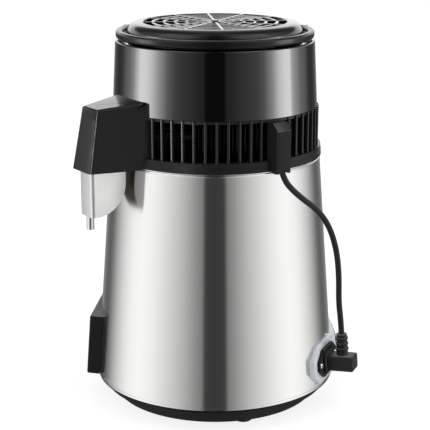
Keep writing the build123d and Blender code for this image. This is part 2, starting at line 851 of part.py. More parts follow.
# Condenser tube: up from the lid, once round the head, out over the cup and down
with BuildPart() as condenser_tube:
    inner_reach = tube_ring_radius - tube_bend_radius
    outer_reach = tube_ring_radius + tube_bend_radius
    feed_reach = math.sqrt(inner_reach ** 2 - tube_bend_radius ** 2)
    ring_start = feed_angle + math.degrees(math.asin(tube_bend_radius / inner_reach))
    exit_reach = math.sqrt(outer_reach ** 2 - tube_bend_radius ** 2)
    ring_end = 270 - math.degrees(math.asin(tube_bend_radius / outer_reach))
    drop_reach = (cup_front + cup_back) / 2
    riser_foot_z = lid_foot_z - tube_foot_drop
    with BuildLine() as tube_path:
        feed = Vector(*polar(1, feed_angle), 0)
        level = Vector(0, 0, tube_z)
        riser = Line((0, 0, riser_foot_z), (0, 0, tube_z - riser_bend_radius))
        bend = TangentArc(riser @ 1, level + feed * riser_bend_radius, tangent=riser % 1)
        feed_run = Line(bend @ 1, level + feed * feed_reach)
        ring_entry = Vector(*polar(tube_ring_radius, ring_start), tube_z)
        entry = TangentArc(feed_run @ 1, ring_entry, tangent=feed_run % 1)
        ring_mid = Vector(*polar(tube_ring_radius, (ring_start + ring_end) / 2), tube_z)
        ring_exit = Vector(*polar(tube_ring_radius, ring_end), tube_z)
        ring = ThreePointArc(entry @ 1, ring_mid, ring_exit)
        leave = TangentArc(ring @ 1, (0, -exit_reach, tube_z), tangent=ring % 1)
        outlet = Line(leave @ 1, (0, -drop_reach + spout_bend_radius, tube_z))
        turn_down = TangentArc(outlet @ 1, (0, -drop_reach, tube_z - spout_bend_radius), tangent=outlet % 1)
        Line(turn_down @ 1, (0, -drop_reach, spout_foot_z))
    with BuildSketch(Plane.XY.offset(riser_foot_z)):
        Circle(tube_radius)
        Circle(tube_radius - tube_wall, mode=Mode.SUBTRACT)
    sweep(path=tube_path.wires()[0])
save(condenser_tube, "condenser_tube")

# Plate fins threaded on the ring of the condenser tube
fin_first = ring_start + fin_margin_angle
fin_count = int((ring_end - fin_margin_angle - fin_first) / fin_pitch_angle) + 1
with BuildPart() as condenser_fins:
    for number in range(fin_count):
        fin_angle = fin_first + number * fin_pitch_angle
        fin_plane = Plane(
            origin=(*polar(tube_ring_radius, fin_angle), tube_z),
            x_dir=(*polar(1, fin_angle), 0),
            z_dir=(*polar(1, fin_angle + 90), 0),
        )
        with BuildSketch(fin_plane):
            add(octagon(fin_width, fin_height, fin_chamfer, fin_chamfer))
            Circle(tube_radius + seat_gap, mode=Mode.SUBTRACT)
        extrude(amount=fin_thickness / 2, both=True)
save(condenser_fins, "condenser_fins")

# Upper housing: a tapered drum with a flat deck, and the roof of the spout
with BuildPart() as head_housing:
    with BuildSketch(Plane.XZ):
        with BuildLine():
            Polyline(
                (housing_foot_radius - housing_wall, vent_top_z),
                (housing_foot_radius, vent_top_z),
                (housing_top_radius, housing_top_z - housing_edge),
                (housing_top_radius - housing_edge, housing_top_z),
                (deck_hole_radius, housing_top_z),
                (deck_hole_radius, deck_foot_z),
                (housing_top_radius - housing_wall, deck_foot_z),
                close=True,
            )
        make_face()
    revolve(axis=Axis.Z)
    add(spout_outside.split(Plane.XY.offset(vent_top_z), keep=Keep.TOP))
    add(spout_inside.split(Plane.XY.offset(vent_top_z), keep=Keep.TOP), mode=Mode.SUBTRACT)
    with BuildSketch(Plane.XY.offset(vent_top_z)):
        Circle(housing_top_radius - housing_wall)
    extrude(amount=spout_back_z - vent_top_z, mode=Mode.SUBTRACT)
save(head_housing, "head_housing")

# Cord guard: a block on the side of the vented ring with a chamfered top and a flared mouth
with BuildPart() as cord_guard:
    guard_plane = Plane(
        origin=(0, 0, 0),
        x_dir=(*polar(1, guard_angle), 0),
        z_dir=(*polar(1, guard_angle - 90), 0),
    )
    guard_root = bar_outer_radius - bar_depth
    with BuildSketch(guard_plane):
        with BuildLine():
            Polyline(
                (guard_root, guard_foot_z),
                (guard_reach, guard_foot_z),
                (guard_reach, guard_top_z - guard_chamfer),
                (guard_reach - guard_chamfer, guard_top_z),
                (guard_root, guard_top_z),
                close=True,
            )
        make_face()
    extrude(amount=guard_width / 2, both=True)
    guard_front = cord_guard.faces().sort_by(Axis((0, 0, 0), (*polar(1, guard_angle), 0)))[-1]
    fillet(guard_front.edges(), radius=guard_edge_radius)
    with BuildSketch(Plane.XY.offset(guard_foot_z)):
        Circle(ring_radius + seat_gap)
    extrude(amount=bar_foot_z + seat_gap - guard_foot_z, mode=Mode.SUBTRACT)
    with BuildSketch(Plane.XY.offset(guard_foot_z)):
        with Locations((cord_route[0].X, cord_route[0].Y)):
            Circle(guard_mouth_radius)
    with BuildSketch(Plane.XY.offset(guard_foot_z + guard_mouth_depth)):
        with Locations((cord_route[0].X, cord_route[0].Y)):
            Circle(guard_throat_radius)
    loft(mode=Mode.SUBTRACT)
save(cord_guard, "cord_guard")

# Pivot line of the handle, and the places of its two eyes
pivot_back = handle_mid_radius * math.cos(math.radians(handle_half_arc))
pivot_side = handle_mid_radius * math.sin(math.radians(handle_half_arc))
pivot_plane = Plane(
    origin=(*polar(pivot_back, handle_angle), handle_mid_z),
    x_dir=(*polar(1, handle_angle), 0),
    z_dir=(*polar(1, handle_angle + 90), 0),
)
print("handle pivot", pivot_plane.origin, "axis", pivot_plane.z_dir)

# Grille cover: a domed ring, five ring bars, spokes and a hub
with BuildPart() as fan_cover:
    with BuildSketch(Plane.XZ) as cover_section:
        with BuildLine():
            Polyline(
                (cover_radius - cover_wall, housing_top_z),
                (cover_radius, housing_top_z),
                (cover_radius, cover_top_z - cover_fall),
                (grille_radius, cover_top_z),
                (grille_radius, cover_top_z - grille_thickness),
                (cover_radius - cover_wall, cover_top_z - cover_fall - grille_thickness),
                close=True,
            )
        make_face()
        outer_corner = cover_section.vertices().group_by(Axis.X)[-1].sort_by(Axis.Y)[-1]
        fillet(outer_corner, radius=cover_shoulder_radius)
    revolve(axis=Axis.Z)
    with BuildSketch(Plane.XY.offset(cover_top_z - grille_thickness)):
        for number in reversed(range(grille_rings)):
            bar_radius = grille_first_ring + number * grille_ring_pitch
            Circle(bar_radius + grille_ring_width / 2)
            Circle(bar_radius - grille_ring_width / 2, mode=Mode.SUBTRACT)
        Circle(grille_hub_radius)
        with PolarLocations(0, spoke_count, start_angle=spoke_start_angle):
            Rectangle(grille_radius + cover_wall / 2, spoke_width, align=(Align.MIN, Align.CENTER))
    extrude(amount=grille_thickness)
    with BuildSketch(Plane.XY.offset(cover_top_z)):
        Circle(grille_hub_radius)
    extrude(amount=grille_hub_height)
    with BuildSketch(pivot_plane):
        Circle(pin_radius + seat_gap)
    extrude(amount=pivot_side, both=True, mode=Mode.SUBTRACT)
save(fan_cover, "fan_cover")

# Pins that carry the eyes of the handle, held in the wall of the cover
for name, side in (("left", -1), ("right", 1)):
    with BuildPart() as pivot_pin:
        grip_start = math.sqrt(cover_radius ** 2 - pivot_back ** 2) - pin_grip
        with BuildSketch(pivot_plane.offset(side * grip_start)):
            Circle(pin_radius)
        extrude(amount=side * (pivot_side + eye_half_length + slip_gap - grip_start))
        with BuildSketch(pivot_plane.offset(side * (pivot_side + eye_half_length + slip_gap))):
            Circle(pin_head_radius)
        extrude(amount=side * pin_head_thickness)
    save(pivot_pin, f"pivot_pin_{name}")

# Carrying handle: a bail with an eye at each end
with BuildPart() as carry_handle:
    start = handle_angle - handle_half_arc
    bail_plane = Plane(
        origin=(0, 0, 0),
        x_dir=(*polar(1, start), 0),
        z_dir=(*polar(1, start - 90), 0),
    )
    with BuildSketch(bail_plane):
        with Locations((handle_mid_radius, handle_mid_z)):
            RectangleRounded(handle_width, handle_height, handle_corner_radius)
    revolve(axis=Axis.Z, revolution_arc=2 * handle_half_arc)
    for side in (-1, 1):
        with BuildSketch(pivot_plane.offset(side * pivot_side)):
            Circle(eye_radius)
        extrude(amount=eye_half_length, both=True)
    for side in (-1, 1):
        with BuildSketch(pivot_plane.offset(side * pivot_side)):
            Circle(pin_radius + shaft_gap)
        extrude(amount=handle_width, both=True, mode=Mode.SUBTRACT)
        with BuildSketch(pivot_plane.offset(side * (pivot_side + eye_half_length))):
            Circle(pin_head_radius + slip_gap)
        extrude(amount=side * handle_width, mode=Mode.SUBTRACT)
save(carry_handle, "carry_handle")

# Motor bracket: three arms under the deck
with BuildPart() as motor_bracket:
    with BuildSketch(Plane.XY.offset(motor_top_z)):
        Circle(bracket_hub_radius)
        with PolarLocations(0, bracket_arm_count, start_angle=90):
            Rectangle(bracket_reach, bracket_arm_width, align=(Align.MIN, Align.CENTER))
    extrude(amount=bracket_thickness)
save(motor_bracket, "motor_bracket")

# Fan motor, hung under the bracket
with BuildPart() as fan_motor:
    with BuildSketch(Plane.XY.offset(motor_foot_z)):
        Circle(motor_radius)
    extrude(amount=motor_height)
    with BuildSketch(Plane.XY.offset(motor_foot_z)):
        Circle(shaft_radius + shaft_gap)
    extrude(amount=shaft_depth_in_motor + slip_gap, mode=Mode.SUBTRACT)
save(fan_motor, "fan_motor")

# Motor shaft, which turns with the fan
with BuildPart() as motor_shaft:
    with BuildSketch(Plane.XY.offset(rotor_foot_z)):
        Circle(shaft_radius)
    extrude(amount=motor_foot_z + shaft_depth_in_motor - rotor_foot_z)
save(motor_shaft, "motor_shaft")

# Fan rotor: a hub with five twisted blades
with BuildPart() as fan_rotor:
    with BuildSketch(Plane.XY.offset(rotor_foot_z)):
        Circle(rotor_hub_radius)
    extrude(amount=rotor_hub_height)
    for number in range(rotor_blade_count):
        angle = number * 360 / rotor_blade_count
        stations = (
            (rotor_hub_radius / 2, rotor_blade_root_width, rotor_blade_root_pitch),
            (rotor_blade_reach, rotor_blade_tip_width, rotor_blade_tip_pitch),
        )
        for radius, width, pitch in stations:
            across = Vector(*polar(math.cos(math.radians(pitch)), angle + 90), math.sin(math.radians(pitch)))
            blade_plane = Plane(
                origin=(*polar(radius, angle), rotor_foot_z + rotor_hub_height / 2),
                x_dir=across,
                z_dir=(*polar(1, angle), 0),
            )
            with BuildSketch(blade_plane):
                Rectangle(width, rotor_blade_thickness)
        loft()
    with BuildSketch(Plane.XY.offset(rotor_foot_z)):
        Circle(shaft_radius + shaft_gap)
    extrude(amount=rotor_hub_height, mode=Mode.SUBTRACT)
save(fan_rotor, "fan_rotor")


# Spout cup: a steel scoop with a rounded heel
def cup_block(inset, top_z):
    """Side profile of the cup, drawn in by an inset and cut off at a height."""
    front = -cup_front + inset
    back = -cup_back - inset
    foot = cup_foot_z + inset
    heel = cup_heel_radius - inset
    with BuildPart() as block:
        with BuildSketch(Plane.YZ):
            with BuildLine():
                Line((front, top_z), (front, foot))
                Line((front, foot), (back - heel, foot))
                RadiusArc((back - heel, foot), (back, foot + heel), -heel)
                Line((back, foot + heel), (back, top_z))
                Line((back, top_z), (front, top_z))
            make_face()
        extrude(amount=cup_half_width - inset, both=True)
        fillet(block.edges().filter_by(Axis.Z).group_by(Axis.Y)[0], radius=cup_edge_radius - inset)
    return block.part


with BuildPart() as spout_cup:
    add(cup_block(0, cup_top_z))
    add(cup_block(cup_wall, cup_top_z + cut_overrun), mode=Mode.SUBTRACT)
    with BuildSketch(Plane.XY.offset(cup_foot_z)):
        with Locations((0, -nozzle_reach)):
            Circle(nozzle_bore_radius)
    extrude(amount=cup_wall, mode=Mode.SUBTRACT)
save(spout_cup, "spout_cup")

with BuildPart() as carbon_filter:
    add(cup_block(cup_wall + slip_gap, filter_top_z))
save(carbon_filter, "carbon_filter")

with BuildPart() as nozzle_tube:
    with BuildSketch(Plane.XY.offset(nozzle_tip_z)):
        with Locations((0, -nozzle_reach)):
            Circle(nozzle_radius)
            Circle(nozzle_bore_radius, mode=Mode.SUBTRACT)
    extrude(amount=cup_foot_z - nozzle_tip_z)
save(nozzle_tube, "nozzle_tube")
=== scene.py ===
import json
import math

import bmesh
import bpy
import numpy
from mathutils import Matrix, Vector


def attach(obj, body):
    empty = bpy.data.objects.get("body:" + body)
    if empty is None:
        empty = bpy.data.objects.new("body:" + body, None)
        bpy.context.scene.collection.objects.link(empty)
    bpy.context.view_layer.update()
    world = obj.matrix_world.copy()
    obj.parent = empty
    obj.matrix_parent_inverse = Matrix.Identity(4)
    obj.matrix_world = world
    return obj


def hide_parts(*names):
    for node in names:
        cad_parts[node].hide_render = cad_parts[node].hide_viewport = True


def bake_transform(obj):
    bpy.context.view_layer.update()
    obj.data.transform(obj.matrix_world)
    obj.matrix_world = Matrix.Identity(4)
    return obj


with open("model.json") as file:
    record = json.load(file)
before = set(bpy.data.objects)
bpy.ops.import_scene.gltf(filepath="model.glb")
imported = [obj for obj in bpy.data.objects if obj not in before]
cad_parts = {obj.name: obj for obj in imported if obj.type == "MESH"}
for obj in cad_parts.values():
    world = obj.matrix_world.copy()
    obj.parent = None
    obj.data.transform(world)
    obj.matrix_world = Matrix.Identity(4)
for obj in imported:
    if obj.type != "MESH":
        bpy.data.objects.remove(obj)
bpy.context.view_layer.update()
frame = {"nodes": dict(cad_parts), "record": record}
nodes = frame["nodes"]
scene = bpy.context.scene
body_of_node = {node: body for body, members in frame["record"]["behaviour"]["bodies"].items() for node in members}
slot_of_node = {part["node"]: part["material_slot"] for part in frame["record"]["subparts"]}

# Sizes are in metres and angles in degrees, except where a line says otherwise
# Steel body and the sockets on it; its lean is in radians
shell_foot_radius, shell_top_radius = 0.1146, 0.0984
shell_foot_z, shell_top_z = 0.0230, 0.2366
shell_lean = math.atan2(shell_foot_radius - shell_top_radius, shell_top_z - shell_foot_z)
socket_z, flange_face = 0.0460, 0.0046
mains_angle, fan_feed_angle = 72.0, 32.5
screw_offset, screw_sink = 0.0200, 0.0002

# Vented ring, drum and spout
bar_foot_z, vent_top_z = 0.2470, 0.2834
top_ring_height = 0.0024
bar_outer_radius, bar_depth, bar_thickness, bar_sink = 0.0966, 0.0042, 0.0026, 0.0008
housing_foot_radius, housing_top_radius, housing_top_z = 0.0950, 0.0920, 0.3436
housing_wall, housing_edge, housing_foot_edge, deck_hole_radius = 0.0025, 0.0014, 0.0003, 0.0680
spout_half_angle = 19.7

# Faces that get a second finish, among them painted shade on the cup's back, the lid's top and the drum's inside: the
# shares of their normals, and the lid's height, that choose them
cup_painted_shade_y, lid_top_lift, roof_top_lift = 0.25, 0.5, 0.6
drum_inward, drum_under_lift = -0.01, -0.5
lid_painted_shade_z = 0.2410

# Bevels of the spout's roof and of the seam below it, and the limits that their edges are chosen by
roof_bevel, roof_seam_bevel, ring_seam_bevel = 0.0024, 0.0006, 0.0004
roof_bevel_stop, stop_slack = 0.0950, 0.00005
clamped_bevel = 0.001
level_lift, upright_lift = 0.95, 0.4
roof_rim_y, roof_rim_radius, roof_rim_rise = -0.0900, 0.0935, 0.003
seam_y, seam_inset, seam_slack = -0.080, 0.0002, 0.00002
passage_half_width, passage_front_y = 0.0110, -0.1300

# Rooms cut for the drum and the slats
drum_spare, drum_room_inner, drum_room_over = 0.00002, 0.0500, 0.0020
slat_room_inner, slat_room_outer, slat_room_over = 0.0900, 0.0990, 0.0010
slat_foot_gap, slat_top_gap, slat_room_spare = 0.0002, 0.0001, 0.00005

# Finned condenser
tube_ring_radius, tube_z, tube_radius = 0.0730, 0.2655, 0.00475

# Grille cover
cover_radius, cover_wall, cover_top_z, cover_fall = 0.0810, 0.0026, 0.3596, 0.0022
cover_shoulder, cover_lip, grille_radius, grille_thickness = 0.0090, 0.0009, 0.0660, 0.0024
grille_first_ring, grille_ring_pitch, grille_bar = 0.0164, 0.0102, 0.0021
ring_drop, spoke_drop, spoke_sink, hub_rise = 0.0015, 0.0011, 0.0013, 0.00098

# Steps round the turned solids
drum_segments, cover_segments, slat_room_segments = 256, 192, 120

# Middle range of the noise in the finishes, and their least roughness
noise_low, noise_high, least_roughness = 0.3, 0.7, 0.02

# Welding of corners, and the faces that count as turned about the axis: their sideways lean and distance from it
cad_weld, slab_weld = 0.000002, 0.000001
turned_lean, turned_reach = 0.06, 0.02
nearly_nothing = 1e-9

# Fan lead: its thickness and the points of its route from the guard to the plug
cord_radius, cord_sides = 0.00275, 20
cord_start = (0.1043, 0.0, 0.2388)
cord_middle = (
    (0.1045, 0.0034, 0.2294),
    (0.1050, 0.0112, 0.2203),
    (0.1059, 0.0226, 0.2103),
    (0.1071, 0.0358, 0.2004),
    (0.1081, 0.0466, 0.1888),
    (0.1090, 0.0549, 0.1741),
    (0.1097, 0.0613, 0.1533),
    (0.1097, 0.0643, 0.1291),
    (0.1094, 0.0649, 0.1058),
)
cord_before_end = (0.10837, 0.06904, 0.08574)
cord_end = (0.10916, 0.06954, 0.07338)

# Camera of the photograph: its side of the object and its pitch in radians, its lens in millimetres
camera_side, camera_pitch = math.radians(-34.0), 0.266
camera_distance, camera_height = 1.15324, 0.489
camera_lens, sensor_width = 104.55, 36.0

# Studio: light round the object by the angle from the camera's side, and on the wall behind it by the rise of a ray
screen_levels = ((180, 0.32), (160, 0.28), (150, 0.16), (139, 0.12), (132, 0.18), (124, 0.38), (116, 0.62), (108, 0.85),
                 (100, 1.05), (92, 1.20), (80, 1.28), (70, 1.22), (60, 1.10), (50, 0.93), (40, 0.76), (32, 0.62),
                 (24, 0.46), (18, 0.34), (12.2, 0.27), (11.4, 0.054), (0, 0.051))
wall_levels = ((0.0, 0.0), (0.025, 1.0), (0.30, 1.0), (0.365, 0.0))
wall_facing_first, wall_facing_full, wall_white = -0.3, -0.6, 1.7
floor_half, floor_tone, floor_glow, floor_glow_share = 4.0, 0.9, 1.2, 0.7

# Side panels: their half width as an angle, and their share of light by the angle from the camera's side
panel_half, panel_peak, panel_distance, panel_height = 43.0, 9.3, 1.2, 0.9
panel_width = 2 * panel_distance * math.tan(math.radians(panel_half))
left_levels = ((118, 0.02), (108, 0.07), (100, 0.20), (93, 0.60), (88, 0.96), (80, 1.0), (73, 0.86), (62, 0.40),
               (52, 0.10), (43, 0.01), (36, 0.0))
right_levels = ((120, 0.02), (107, 0.07), (97, 0.26), (91.5, 0.48), (89.5, 0.92), (82, 1.0), (74, 0.85), (64, 0.32),
                (54, 0.05), (46, 0.0), (38, 0.0))
lamp_aim_z, head_aim_z = 0.2, 0.25


def polar(radius, angle, z=0.0):
    """Point at a radius, an angle in degrees and a height."""
    turn = math.radians(angle)
    return Vector((radius * math.cos(turn), radius * math.sin(turn), z))


def reach(spot):
    """Distance of a spot from the upright axis."""
    return math.hypot(spot.x, spot.y)


def shell_radius(z):
    """Outer radius of the steel body at a height."""
    share = (z - shell_foot_z) / (shell_top_z - shell_foot_z)
    return shell_foot_radius + share * (shell_top_radius - shell_foot_radius)


def wall_frame(angle, z, proud):
    """Matrix of a plane that leans with the steel body: x round it, y up it, z out of it."""
    turn = math.radians(angle)
    out = Vector((math.cos(turn) * math.cos(shell_lean), math.sin(turn) * math.cos(shell_lean), math.sin(shell_lean)))
    round_body = Vector((-math.sin(turn), math.cos(turn), 0))
    up = out.cross(round_body)
    rotation = Matrix((round_body, up, out)).transposed().to_4x4()
    return Matrix.Translation(polar(shell_radius(z), angle, z) + out * proud) @ rotation


# Node trees
def step(tree, kind, feeds=None, out=0, **settings):
    """Output of a new node of a tree, with its settings, fed by sockets or plain values."""
    node = tree.nodes.new(kind)
    for label, value in settings.items():
        setattr(node, label, value)
    for label, feed in (feeds or {}).items():
        if isinstance(feed, bpy.types.NodeSocket):
            tree.links.new(feed, node.inputs[label])
        else:
            node.inputs[label].default_value = feed
    return node.outputs[out]


def calc(tree, operation, *terms):
    """Result of one sum on sockets or numbers."""
    return step(tree, "ShaderNodeMath", dict(enumerate(terms)), operation=operation)


def vector(tree, x=0.0, y=0.0, z=0.0):
    """Vector of three sockets or numbers."""
    return step(tree, "ShaderNodeCombineXYZ", {"X": x, "Y": y, "Z": z})


def mixed(tree, share, first, second):
    """Colour between two colours."""
    return step(tree, "ShaderNodeMix", {"Factor": share, "A": first, "B": second}, "Result", data_type="RGBA")


# Finishes
def surface(name, colour, roughness, metallic=0.0, grain=400.0, stretch=(1, 1, 1), bump=0.0, depth=0.0001,
            rough_spread=0.06, tint=0.12, fixed=None):
    """Principled finish whose tone, roughness and relief follow one noise on object coordinates."""
    material = bpy.data.materials.new(name)
    material.use_nodes = True
    tree = material.node_tree
    shader = tree.nodes["Principled BSDF"]
    for socket, value in {"Metallic": metallic, **(fixed or {})}.items():
        shader.inputs[socket].default_value = value
    spot = step(tree, "ShaderNodeMapping", {"Vector": step(tree, "ShaderNodeTexCoord", out="Object"),
                                            "Scale": [grain * share for share in stretch]})
    noise = step(tree, "ShaderNodeTexNoise", {"Vector": spot, "Scale": 1.0, "Detail": 3.0}, "Fac")
    rough = step(tree, "ShaderNodeMapRange",
                 {"Value": noise, "From Min": noise_low, "From Max": noise_high,
                  "To Min": max(roughness - rough_spread, least_roughness),
                  "To Max": min(roughness + rough_spread, 1.0)}, "Result")
    tone = mixed(tree, noise, (*[value * (1 - tint) for value in colour], 1),
                 (*[min(value * (1 + tint), 1) for value in colour], 1))
    tree.links.new(rough, shader.inputs["Roughness"])
    tree.links.new(tone, shader.inputs["Base Color"])
    if bump:
        relief = step(tree, "ShaderNodeBump", {"Strength": bump, "Distance": depth, "Height": noise}, "Normal")
        tree.links.new(relief, shader.inputs["Normal"])
    return material


def brushed_round(name, colour, roughness, anisotropy):
    """Steel brushed round the upright axis, so that its reflections spread up and down."""
    material = surface(name, colour, roughness, metallic=1.0, grain=1.0, stretch=(18, 18, 1800), bump=0.03,
                       depth=0.00001, rough_spread=0.015, tint=0.02,
                       fixed={"Anisotropic": anisotropy, "Anisotropic Rotation": 0.25})
    tree = material.node_tree
    tangent = step(tree, "ShaderNodeTangent", out="Tangent", direction_type="RADIAL", axis="Z")
    tree.links.new(tangent, tree.nodes["Principled BSDF"].inputs["Tangent"])
    return material


def gloss(level):
    """Fixed strength of a finish's highlights."""
    return {"Specular IOR Level": level}


finishes = {
    "satin_steel": brushed_round("satin_steel", (0.74, 0.735, 0.725), 0.165, 0.9),
    "cup_steel": surface("cup_steel", (0.80, 0.798, 0.792), 0.42, metallic=1.0, grain=1.0, stretch=(900, 30, 30),
                         bump=0.03, depth=0.00002, tint=0.03),
    # Painted shade: darker steel for the back of the cup, which faces the body
    "painted_shade_steel": surface("painted_shade_steel", (0.17, 0.145, 0.115), 0.42, metallic=1.0, grain=260, tint=0.03),
    "polished_steel": surface("polished_steel", (0.72, 0.72, 0.72), 0.14, metallic=1.0, grain=260, tint=0.03),
    "gloss_black": surface("gloss_black", (0.0008, 0.0008, 0.0009), 0.06, grain=60, bump=0.01, depth=0.00004,
                           rough_spread=0.012, fixed=gloss(0.6)),
    "satin_black": surface("satin_black", (0.006, 0.006, 0.0063), 0.24, grain=1500, bump=0.05, depth=0.00004,
                           rough_spread=0.04, fixed=gloss(0.15)),
    "cover_black": surface("cover_black", (0.005, 0.005, 0.0053), 0.13, grain=1400, bump=0.02, depth=0.00003,
                           rough_spread=0.03, fixed=gloss(0.3)),
    "grille_black": surface("grille_black", (0.005, 0.005, 0.0053), 0.09, grain=1400, rough_spread=0.02,
                            fixed=gloss(1.0)),
    "handle_black": surface("handle_black", (0.006, 0.006, 0.0063), 0.26, grain=1400, bump=0.04, depth=0.00004,
                            rough_spread=0.04, fixed=gloss(0.2)),
    # Painted shade: dull near-black for the lid's top and the drum's inside, where the head is in shade
    "painted_shade_black": surface("painted_shade_black", (0.004, 0.004, 0.004), 0.9, grain=900, fixed=gloss(0.02)),
    "slat_black": surface("slat_black", (0.010, 0.010, 0.010), 0.28, grain=1300, rough_spread=0.05, fixed=gloss(0.5)),
    # Black of the base pan; on the condenser tube it is painted shade
    "pan_black_and_painted_shade": surface("pan_black_and_painted_shade", (0.004, 0.004, 0.004), 0.5, grain=1200, bump=0.08, depth=0.00006,
                         fixed=gloss(0.15)),
    "insert_black": surface("insert_black", (0.008, 0.008, 0.008), 0.42, grain=1200, bump=0.08, depth=0.00006,
                            fixed=gloss(0.15)),
    "button_black": surface("button_black", (0.03, 0.03, 0.033), 0.25, grain=700, rough_spread=0.03),
    "pale_bezel": surface("pale_bezel", (0.79, 0.83, 0.89), 0.33, grain=900, bump=0.05, depth=0.00005, tint=0.03,
                          fixed={"Subsurface Weight": 0.15, "Subsurface Scale": 0.003}),
    "lens_red": surface("lens_red", (0.35, 0.02, 0.015), 0.12, grain=500, rough_spread=0.03),
    "rubber_black": surface("rubber_black", (0.011, 0.011, 0.0115), 0.46, grain=1100, bump=0.10, depth=0.00006,
                            fixed=gloss(0.3)),
    "silicone": surface("silicone", (0.72, 0.72, 0.69), 0.5, grain=500, bump=0.05),
    "aluminium": surface("aluminium", (0.42, 0.42, 0.43), 0.38, metallic=1.0, grain=300, tint=0.08),
    # Painted shade: dark metal for the condenser fins and fan motor, which sit in shade inside the head
    "painted_shade_fin": surface("painted_shade_fin", (0.05, 0.05, 0.052), 0.40, metallic=1.0, grain=300, tint=0.15),
    "zinc_steel": surface("zinc_steel", (0.50, 0.50, 0.48), 0.36, metallic=1.0, grain=240, tint=0.15),
    "screw_steel": surface("screw_steel", (0.80, 0.80, 0.78), 0.22, metallic=1.0, grain=900, tint=0.06),
    "brass": surface("brass", (0.70, 0.62, 0.42), 0.24, metallic=1.0, grain=400, tint=0.05),
    "carbon": surface("carbon", (0.03, 0.03, 0.03), 0.85, grain=900, bump=0.5, depth=0.0004, tint=0.5),
}


# Meshes
def held(name, data):
    """Object for a mesh, curve, lamp or camera, linked to the scene."""
    holder = bpy.data.objects.new(name, data)
    scene.collection.objects.link(holder)
    return holder


def evaluated(holder):
    """Plain mesh of an object with its modifiers, which is then removed."""
    bpy.context.view_layer.update()
    mesh = bpy.data.meshes.new_from_object(holder.evaluated_get(bpy.context.evaluated_depsgraph_get()))
    bpy.data.objects.remove(holder)
    return mesh


def shape_of(mesh):
    """Shape of a mesh to work on."""
    shape = bmesh.new()
    shape.from_mesh(mesh)
    return shape


def written(shape, mesh):
    """The mesh with a finished shape in it, which is freed."""
    shape.to_mesh(mesh)
    shape.free()
    return mesh


def written_outwards(shape, mesh):
    """The mesh with a finished shape in it, whose closed shells face outwards."""
    bmesh.ops.recalc_face_normals(shape, faces=shape.faces)
    return written(shape, mesh)


def smooth(mesh, angle):
    """Shade a mesh smooth, with the edges above an angle left sharp."""
    mesh.shade_smooth()
    mesh.set_sharp_from_angle(angle=math.radians(angle))
    return mesh


def values_of(members, label, width, kind=float):
    """Array of one value of the members of a mesh."""
    values = numpy.empty(len(members) * width, dtype=kind)
    members.foreach_get(label, values)
    return values.reshape(-1, width) if width > 1 else values


def weigh_normals(mesh, angle):
    """Corner normals led by the larger faces, with no sideways lean on faces turned about the upright axis."""
    smooth(mesh, angle)
    name = mesh.name
    holder = held(name, mesh)
    weigh = holder.modifiers.new("face_weights", "WEIGHTED_NORMAL")
    weigh.keep_sharp = True
    weigh.weight = 90
    weighed = evaluated(holder)
    bpy.data.meshes.remove(mesh)
    weighed.name = name
    centre, normal = (values_of(weighed.polygons, label, 3) for label in ("center", "normal"))
    corners_of_face = values_of(weighed.polygons, "loop_total", 1, int)
    spot = values_of(weighed.vertices, "co", 3)[values_of(weighed.loops, "vertex_index", 1, int)]
    corner_normal = values_of(weighed.corner_normals, "vector", 3)
    face_reach = numpy.hypot(centre[:, 0], centre[:, 1]) + nearly_nothing
    sideways = (normal[:, 1] * centre[:, 0] - normal[:, 0] * centre[:, 1]) / face_reach
    turned = numpy.repeat((abs(sideways) < turned_lean) & (face_reach > turned_reach), corners_of_face)
    spot_reach = numpy.hypot(spot[:, 0], spot[:, 1]) + nearly_nothing
    side = numpy.stack((-spot[:, 1] / spot_reach, spot[:, 0] / spot_reach, 0 * spot_reach), axis=1)
    lean = (corner_normal * side).sum(axis=1, keepdims=True) * turned[:, None]
    corner_normal = corner_normal - lean * side
    corner_normal /= numpy.linalg.norm(corner_normal, axis=1, keepdims=True) + nearly_nothing
    weighed.normals_split_custom_set(corner_normal.tolist())
    return weighed


def skin(shape, rings, whole):
    """Faces between each ring of corners and the next, and either back to the first ring or over both ends."""
    for ring, after in zip(rings, rings[1:] + rings[:1] if whole else rings[1:]):
        for number, corner in enumerate(ring):
            nxt = (number + 1) % len(ring)
            shape.faces.new((corner, after[number], after[nxt], ring[nxt]))
    if not whole:
        shape.faces.new(rings[0])
        shape.faces.new(reversed(rings[-1]))


def turned_solid(name, outline, segments, first=0.0, last=360.0):
    """Closed solid of a closed outline of radii and heights, turned about the upright axis between two angles."""
    whole = last - first == 360.0
    shape = bmesh.new()
    rings = []
    for number in range(segments if whole else segments + 1):
        angle = first + (last - first) * number / segments
        rings.append([shape.verts.new(polar(r, angle, z)) for r, z in outline])
    skin(shape, rings, whole)
    return written_outwards(shape, bpy.data.meshes.new(name))


def arc(middle_r, middle_z, radius, first, last, steps):
    """Points of an arc in an outline of radii and heights, between two angles in radians."""
    turns = [first + (last - first) * number / steps for number in range(steps + 1)]
    return [(middle_r + radius * math.cos(turn), middle_z + radius * math.sin(turn)) for turn in turns]


def cut(mesh, cutter):
    """Mesh with a closed cutter taken out of it."""
    body, knife = held("cut_body", mesh), held("cut_knife", cutter)
    taking = body.modifiers.new("take_out", "BOOLEAN")
    taking.operation = "DIFFERENCE"
    taking.solver = "EXACT"
    taking.object = knife
    result = evaluated(body)
    bpy.data.objects.remove(knife)
    return result


# Pieces
def place(piece_name, mesh, body, slot, replaced=()):
    """Object for a finished mesh, on its body and with its slot."""
    piece = held(piece_name, mesh)
    if not mesh.materials:
        mesh.materials.append(finishes[slot])
    if body:
        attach(piece, body)
    if replaced:
        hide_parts(*replaced)
    return piece


def copy_of(node):
    """Merged copy of a CAD node's mesh."""
    source = nodes[node].data
    corners = [vertex.co[:] for vertex in source.vertices]
    mesh = bpy.data.meshes.new(f"{node}_skin")
    mesh.from_pydata(corners, [], [list(face.vertices) for face in source.polygons])
    shape = shape_of(mesh)
    bmesh.ops.remove_doubles(shape, verts=shape.verts, dist=cad_weld)
    return written(shape, mesh)


